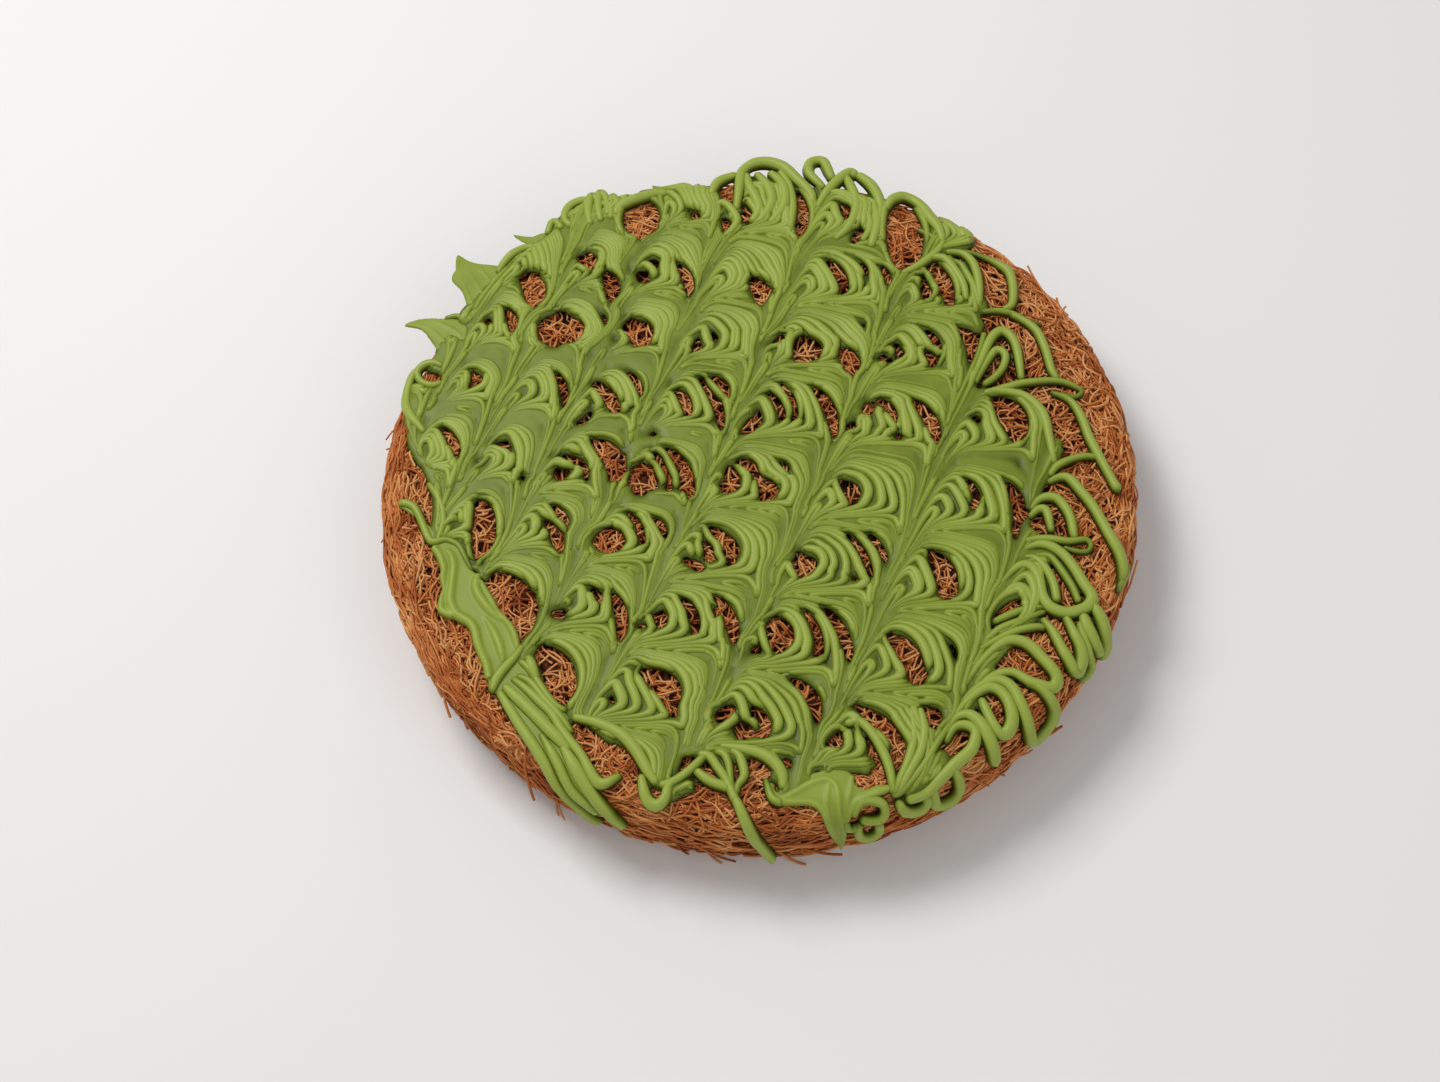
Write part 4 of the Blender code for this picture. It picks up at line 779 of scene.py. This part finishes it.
def slabs(name, outlines, height):
    """Flat slabs with these rounded outlines, standing this high."""
    slab = bmesh.new()
    for outline in outlines:
        rim = [slab.verts.new((x, y, 0)) for x, y in closed_curve(outline)]
        risen = bmesh.ops.extrude_face_region(slab, geom=[slab.faces.new(rim)], use_keep_orig=True)
        upper = [v for v in risen["geom"] if isinstance(v, bmesh.types.BMVert)]
        bmesh.ops.translate(slab, vec=(0, 0, height), verts=upper)
    bmesh.ops.triangulate(slab, faces=slab.faces)
    bmesh.ops.recalc_face_normals(slab, faces=slab.faces)
    mesh = bpy.data.meshes.new(name)
    slab.to_mesh(mesh)
    slab.free()
    return placed(name, mesh)


def keep_largest_shell(obj):
    """Scraps that came loose from the lace are taken away."""
    shell = bmesh.new()
    shell.from_mesh(obj.data)
    left = set(shell.verts)
    islands = []
    while left:
        front = [left.pop()]
        island = list(front)
        while front:
            for edge in front.pop().link_edges:
                for vertex in edge.verts:
                    if vertex in left:
                        left.remove(vertex)
                        front.append(vertex)
                        island.append(vertex)
        islands.append(island)
    islands.sort(key=len)
    for island in islands[:-1]:
        bmesh.ops.delete(shell, geom=island, context="VERTS")
    shell.to_mesh(obj.data)
    shell.free()


def melted(name, shapes, voxel, evening):
    """The shapes melted into one closed skin and evened out."""
    pool = bmesh.new()
    for shape in shapes:
        pool.from_mesh(shape.data)
        bpy.data.objects.remove(shape)
    mesh = bpy.data.meshes.new(name)
    pool.to_mesh(mesh)
    pool.free()
    made = placed(name, mesh)
    melt = made.modifiers.new("melt", "REMESH")
    melt.mode = "VOXEL"
    melt.voxel_size = voxel
    made = as_mesh(made)
    even = made.modifiers.new("even", "SMOOTH")
    even.factor = 0.5
    even.iterations = evening
    return as_mesh(made)


def pressed_flat(obj):
    """The underside level, as it lies on the round."""
    places = places_of(obj)
    places[:, 2] = np.maximum(places[:, 2], 0)
    obj.data.vertices.foreach_set("co", places.ravel())
    return obj


def thinned(obj, triangles):
    """The object with no more than about this many triangles."""
    faces = sum(len(polygon.vertices) - 2 for polygon in obj.data.polygons)
    thin = obj.modifiers.new("thin", "DECIMATE")
    thin.ratio = min(1, triangles / faces)
    thin.use_collapse_triangulate = True
    return as_mesh(obj)


def laid_down(obj, least_rise=0):
    """Flat cream set on the round. How high each point stands above the pastry is kept for the painted groove shade.
    """
    x, y, height = places_of(obj).T
    obj.data.vertices.foreach_set("co", set_on_round(x, y, CREAM_GAP + np.maximum(height, 0)).ravel())
    rise = obj.data.attributes.new("rise", "FLOAT", "POINT")
    share = least_rise + (1 - least_rise) * np.clip(height / STRAND_HEIGHT, 0, 1.2)
    rise.data.foreach_set("value", share.astype(np.float32))
    return obj


strand_paths = []
skin_paths = []
for x, y, radius, room in combed_strands():
    points = np.column_stack([x, y])
    kept = kept_stations(x, y)
    if radius.max() > FAINT:
        strand_paths.append((points[kept], (np.minimum(radius, room) * sunken_ends(x, y))[kept]))
    spread = SKIN_RADIUS + SMEAR * np.maximum(STRAND_RADIUS - radius, 0)
    skin_paths.append((points[::2], np.minimum(spread, room)[::2]))
for stops in EDGE_STRANDS:
    x, y, radius = along_curve(stops, 60).T * MM
    radius = rounded_ends(x, y, radius)
    strand_paths.append((np.column_stack([x, y]), radius))
    skin_paths.append((np.column_stack([x, y]), radius))
skin = melted("pistachio_skin", [flat_tubes("skin", skin_paths, SKIN_HEIGHT / SKIN_RADIUS)], SKIN_VOXEL, 3)
keep_largest_shell(skin)
skin = laid_down(thinned(pressed_flat(skin), SKIN_TRIANGLES))
ridges = [(curve[:, :2] * MM, curve[:, 2] * MM) for curve in (along_curve(stops, 40) for stops in SHEET_RIDGES)]
shapes = [slabs("sheets", SHEETS, SHEET_HEIGHT), flat_tubes("ridges", ridges, STRAND_HEIGHT / STRAND_RADIUS)]
sheets = laid_down(pressed_flat(melted("pistachio_sheets", shapes, SHEET_VOXEL, 4)), SHEET_SHADE_LIMIT)
groups = [[]]
for path in strand_paths:
    if sum(len(points) for points, radii in groups[-1] + [path]) * 2 * STRAND_SIDES > PIECE_TRIANGLES:
        groups.append([])
    groups[-1].append(path)
strands = []
for k, group in enumerate(groups):
    strands.append(laid_down(flat_tubes(f"pistachio_strands_{k + 1}", group, STRAND_HEIGHT / STRAND_RADIUS)))

# Pistachio cream, set soft after piping: a satin green with broad mottling where it mixed unevenly. Its colour also
# holds painted shade: darker olive the lower the cream lies in the grooves between strands, lightest on the strands'
# tops. The ground nut is finer than the render shows, so its grain is drawn coarse.
MOTTLE_SPACING = 11.1 * MM
NUT_SPACING = 1.43 * MM
cream, tree, shader, place = new_material("Set_pistachio_cream", 0.45, 0.3)
# Painted shade: how high the cream stands above the pastry picks its colour, dark olive low in the grooves.
height_shade = add_node(tree, "ShaderNodeAttribute", {"attribute_name": "rise"})
mottle = add_node(tree, "ShaderNodeTexNoise", Vector=place, Scale=1 / MOTTLE_SPACING, Detail=4.0)
level = add_node(
    tree, "ShaderNodeMath", {"operation": "MULTIPLY_ADD"}, in0=mottle.outputs["Fac"], in1=0.3, in2=height_shade.outputs["Fac"]
)
tree.links.new(
    ramp(tree, level.outputs[0], [(0.2, "#2E3700"), (0.5, "#5B6B13"), (0.78, "#84942E"), (1.0, "#9AAA46")]),
    shader.inputs["Base Color"],
)
grain = add_node(tree, "ShaderNodeTexNoise", Vector=place, Scale=1 / NUT_SPACING, Detail=3.0)
dimple = add_node(tree, "ShaderNodeBump", Strength=0.15, Distance=0.2 * MM, Height=grain.outputs["Fac"])
tree.links.new(dimple.outputs["Normal"], shader.inputs["Normal"])
for piece in [skin, sheets] + strands:
    finished(piece, cream)
    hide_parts("pistachio_cream")

# ---------------------------------------------------------------------------------------------------------------------
# The pastry's outer strands. Kataifi is dough run through a fine sieve into threads under a millimetre thick, which
# crisp and curl in the oven. They lie every way on top, and run round the side as the pan pressed them.
# ---------------------------------------------------------------------------------------------------------------------
THREAD_RADIUS = 0.36 * MM
THREAD_SIDES = 4
THREADS_PER_PIECE = 1600
COVER_DEPTH = 8 * MM
RIM_START = 97 * MM

# The loose roll along the left rim: its middle and spread in degrees, and its place and size across the rim.
ROLL_MIDDLE = 186
ROLL_SPREAD = 34
ROLL_REACH = 116 * MM
ROLL_SIZE = 3.4 * MM
ROLL_RISE = 1.2 * MM

# How many threads are laid in each place, and the limits of their length, waves and lift, in mm or in radians round
# the cake. SIDE_LEVEL goes on past the rim's radius and down the side. Threads that the cream would hide aren't laid.
TOP_THREADS = 8500
TOP_RIM_SHARE = 0.25
TOP_LENGTH = (7, 20)
TOP_BEND = (-1.5, 1.5)
TOP_WAVE = (0.2, 0.8)
TOP_LIFT = (-2.4, -0.3)
ROLL_THREADS = 950
ROLL_DEGREES = (148, 224)
ROLL_LENGTH = (0.1, 0.34)
ROLL_WAVE = (0.2, 0.9)
SIDE_THREADS = 2100
SIDE_LENGTH = (0.08, 0.32)
SIDE_LEVEL = (113, 146)
SIDE_WAVE = (0.3, 1.3)
SIDE_LIFT = (-2.4, 0.1)
SIDE_END = 145.4 * MM
STRAY_SHARE = 0.03
STRAY_LIFT = (1, 5)
STRAY_DROP = (-6, 12)


def outward(x, y):
    """Which way the round's skin faces at these plan points."""
    return drape(x, y, 1.0) - drape(x, y, 0.0)


def hidden(points, facing, cover):
    """True where cream covers the thread at every one of a few points."""
    for k in range(0, len(points), 2):
        hit = cover.ray_cast(Vector(points[k]), Vector(facing[k]), COVER_DEPTH)
        if hit[0] is None:
            return False
    return True


def left_roll(x, y):
    """How far the point is in the loose roll along the left rim: 1 in its middle, 0 outside it."""
    bearing = np.degrees(np.arctan2(y, x)) % 360
    along_it = np.clip(1.4 - np.abs(bearing - ROLL_MIDDLE) / ROLL_SPREAD, 0, 1)
    return along_it * np.clip(1.5 - np.abs(np.hypot(x, y) - 115 * MM) / (6 * MM), 0, 1)


def top_thread():
    """A thread lying on the top: every way in the middle, and mostly along the rim further out."""
    reach = (CAKE_RADIUS + 1 * MM) * math.sqrt(draw.uniform(0, 1))
    if draw.uniform(0, 1) < TOP_RIM_SHARE:
        reach = draw.uniform(RIM_START, CAKE_RADIUS + 1 * MM)
    where = draw.uniform(0, 2 * math.pi)
    along_rim = np.clip((reach - RIM_START) / (8 * MM), 0, 1)
    heading = where + math.pi / 2 + (1.7 - 1.15 * along_rim) * draw.normal()
    bend = draw.uniform(*TOP_BEND)
    length = draw.uniform(*TOP_LENGTH) * MM
    t = np.linspace(-0.5, 0.5, 9)
    wave = draw.uniform(*TOP_WAVE) * MM * np.sin(t * draw.uniform(5, 12) + where)
    x = reach * math.cos(where) + length * t * np.cos(heading + bend * t) - wave * math.sin(heading)
    y = reach * math.sin(where) + length * t * np.sin(heading + bend * t) + wave * math.cos(heading)
    lift = draw.uniform(*TOP_LIFT) * MM + 0.6 * MM * np.sin(5 * t + 3 * heading) + ROLL_RISE * left_roll(x, y)
    return x, y, lift


def roll_thread():
    """A long wavy thread in the loose roll along the left rim."""
    start = math.radians(draw.uniform(*ROLL_DEGREES))
    around = draw.uniform(-0.3, 1) * math.pi
    spread = draw.uniform(0.5, 1)
    t = np.linspace(-0.5, 0.5, 15)
    wave = draw.uniform(*ROLL_WAVE) * MM * np.sin(t * draw.uniform(8, 22) + 9 * start)
    angle = start + draw.uniform(*ROLL_LENGTH) * t
    size = (1 - np.clip((np.abs(np.degrees(angle) - ROLL_MIDDLE) - 25) / 15, 0, 1)) * ROLL_SIZE * spread
    reach = ROLL_REACH - 1.3 * size * math.cos(around) + draw.normal(0, 3) * MM * t + wave
    lift = -ROLL_RISE + size * math.sin(around) + 0.5 * MM * np.sin(7 * t + start)
    return reach * np.cos(angle), reach * np.sin(angle), lift


def side_thread():
    """A thread lying round the side, sagging and curling a little; a stray one stands off at one end."""
    start = draw.uniform(0, 2 * math.pi)
    sweep = draw.uniform(*SIDE_LENGTH)
    level = draw.uniform(*SIDE_LEVEL) * MM
    t = np.linspace(-0.5, 0.5, 15)
    wave = draw.uniform(*SIDE_WAVE) * MM * np.sin(t * draw.uniform(6, 17) + 9 * start)
    reach = level + draw.normal(0, 4) * MM * t + draw.normal(0, 9) * MM * t**2 + wave
    lift = draw.uniform(*SIDE_LIFT) * MM + 0.6 * MM * np.sin(9 * t + start)
    if draw.uniform(0, 1) < STRAY_SHARE:
        lift += draw.uniform(*STRAY_LIFT) * MM * np.clip(2 * t, 0, 1) ** 1.5
        reach += draw.uniform(*STRAY_DROP) * MM * np.clip(2 * t, 0, 1) ** 2
    reach = np.minimum(reach, SIDE_END)
    angle = start + sweep * t
    lift = lift + ROLL_RISE * left_roll(reach * np.cos(angle), reach * np.sin(angle))
    return reach * np.cos(angle), reach * np.sin(angle), lift


def tucked(points):
    """Drawn in towards the foot, as the pan's bottom edge is rounded."""
    tuck = FOOT_TUCK * np.clip(1 - points[:, 2] / (0.5 * CAKE_TOP), 0, 1)
    radius = np.hypot(points[:, 0], points[:, 1])
    scale = 1 - tuck / np.maximum(radius, 1e-9)
    return np.column_stack([points[:, 0] * scale, points[:, 1] * scale, points[:, 2]])


def laid_on_top(count, thread, thickest):
    """The paths of this many threads, without those that the cream hides."""
    paths = []
    for _ in range(count):
        x, y, lift = thread()
        points = drape(x, y, lift)
        if not hidden(points, outward(x, y), cover):
            paths.append((points, np.full(len(points), THREAD_RADIUS * draw.uniform(0.8, thickest))))
    return paths


def threads(name, paths, palest):
    """Pieces of at most THREADS_PER_PIECE threads, each thread's own browning kept on its vertices."""
    pieces = []
    for first in range(0, len(paths), THREADS_PER_PIECE):
        group = paths[first : first + THREADS_PER_PIECE]
        made = tubes(f"{name}_{len(pieces) + 1}", group, THREAD_SIDES)
        tone = made.data.attributes.new("tone", "FLOAT", "POINT")
        each = len(made.data.vertices) // len(group)
        tone.data.foreach_set("value", np.repeat(draw.uniform(0, palest, len(group)), each).astype(np.float32))
        pieces.append(made)
    return pieces


cover = BVHTree.FromPolygons(
    [v.co for v in skin.data.vertices], [p.vertices for p in skin.data.polygons], all_triangles=True
)
top_paths = laid_on_top(TOP_THREADS, top_thread, 1.2)
roll_paths = laid_on_top(ROLL_THREADS, roll_thread, 1.1)
side_paths = []
for _ in range(SIDE_THREADS):
    x, y, lift = side_thread()
    side_paths.append((tucked(drape(x, y, lift)), np.full(len(x), THREAD_RADIUS * draw.uniform(0.8, 1.25))))
top = threads("kataifi_top", top_paths, 1.2)
roll = threads("kataifi_roll", roll_paths, 0.75)
side = threads("kataifi_side", side_paths, 0.75)

# Kataifi browned in butter: crisp, dry to the eye with a faint fat gleam. Each thread has its own browning, from
# red-brown to straw, and whole patches of the cake browned more than others.
PATCH_SPACING = 14.3 * MM
kataifi, tree, shader, place = new_material("Browned_kataifi", 0.62, 0.35)
own = add_node(tree, "ShaderNodeAttribute", {"attribute_name": "tone"})
patches = add_node(tree, "ShaderNodeTexNoise", Vector=place, Scale=1 / PATCH_SPACING, Detail=3.0)
browning = add_node(
    tree, "ShaderNodeMath", {"operation": "MULTIPLY_ADD"}, in0=own.outputs["Fac"], in1=0.55, in2=patches.outputs["Fac"]
)
tree.links.new(
    ramp(tree, browning.outputs[0], [(0.35, "#843E12"), (0.6, "#B25E23"), (0.8, "#CB7D3C"), (1.0, "#E0A062")]),
    shader.inputs["Base Color"],
)
for piece in top + roll + side:
    finished(piece, kataifi)

# ---------------------------------------------------------------------------------------------------------------------
# The studio: a plain pale floor, a soft key light from above and behind, a weaker and wider one from the front right,
# and an even fill from all round.
# ---------------------------------------------------------------------------------------------------------------------
FLOOR_HALF = 4
body = bmesh.new()
bmesh.ops.create_grid(body, x_segments=1, y_segments=1, size=FLOOR_HALF)
mesh = bpy.data.meshes.new("floor")
body.to_mesh(mesh)
body.free()
floor = placed("floor", mesh)

# Matt white studio paper, which takes a soft shadow and gives no gleam.
paper, tree, shader, place = new_material("Studio_paper", 0.9, 0.1)
shader.inputs["Base Color"].default_value = linear("#F1F0EE")
floor.data.materials.append(paper)


def soft_light(name, where, size, power):
    """A square soft box that faces the kunafa."""
    lamp = bpy.data.lights.new(name, "AREA")
    lamp.size = size
    lamp.energy = power
    made = placed(name, lamp)
    made.location = where
    made.rotation_mode = "QUATERNION"
    made.rotation_quaternion = (-Vector(where)).to_track_quat("-Z", "Y")


soft_light("key", where=(-0.5, 0.5, 1.1), size=0.55, power=9.9)
soft_light("front", where=(0.5, -0.9, 0.9), size=1.0, power=3.0)
FILL = 0.37
world = bpy.data.worlds.new("studio")
world.use_nodes = True
world.node_tree.nodes["Background"].inputs["Color"].default_value = (1, 1, 1, 1)
world.node_tree.nodes["Background"].inputs["Strength"].default_value = FILL
bpy.context.scene.world = world
bpy.context.scene.view_settings.view_transform = "Standard"

# The camera stands in front and looks steeply down, held a little askew.
FOCAL_LENGTH = 55.85
SENSOR_WIDTH = 36
ELEVATION = math.radians(60.6)
ROLL = math.radians(-6.5)
DISTANCE = 0.7
AIM = Vector((-0.0142, -0.0141, 0.018))
lens = bpy.data.cameras.new("camera")
lens.sensor_width = SENSOR_WIDTH
lens.lens = FOCAL_LENGTH
camera = placed("camera", lens)
back = Vector((0, -math.cos(ELEVATION), math.sin(ELEVATION)))
camera.rotation_mode = "QUATERNION"
camera.rotation_quaternion = (-back).to_track_quat("-Z", "Y") @ Quaternion((0, 0, 1), ROLL)
camera.location = AIM + DISTANCE * back
bpy.context.scene.camera = camera
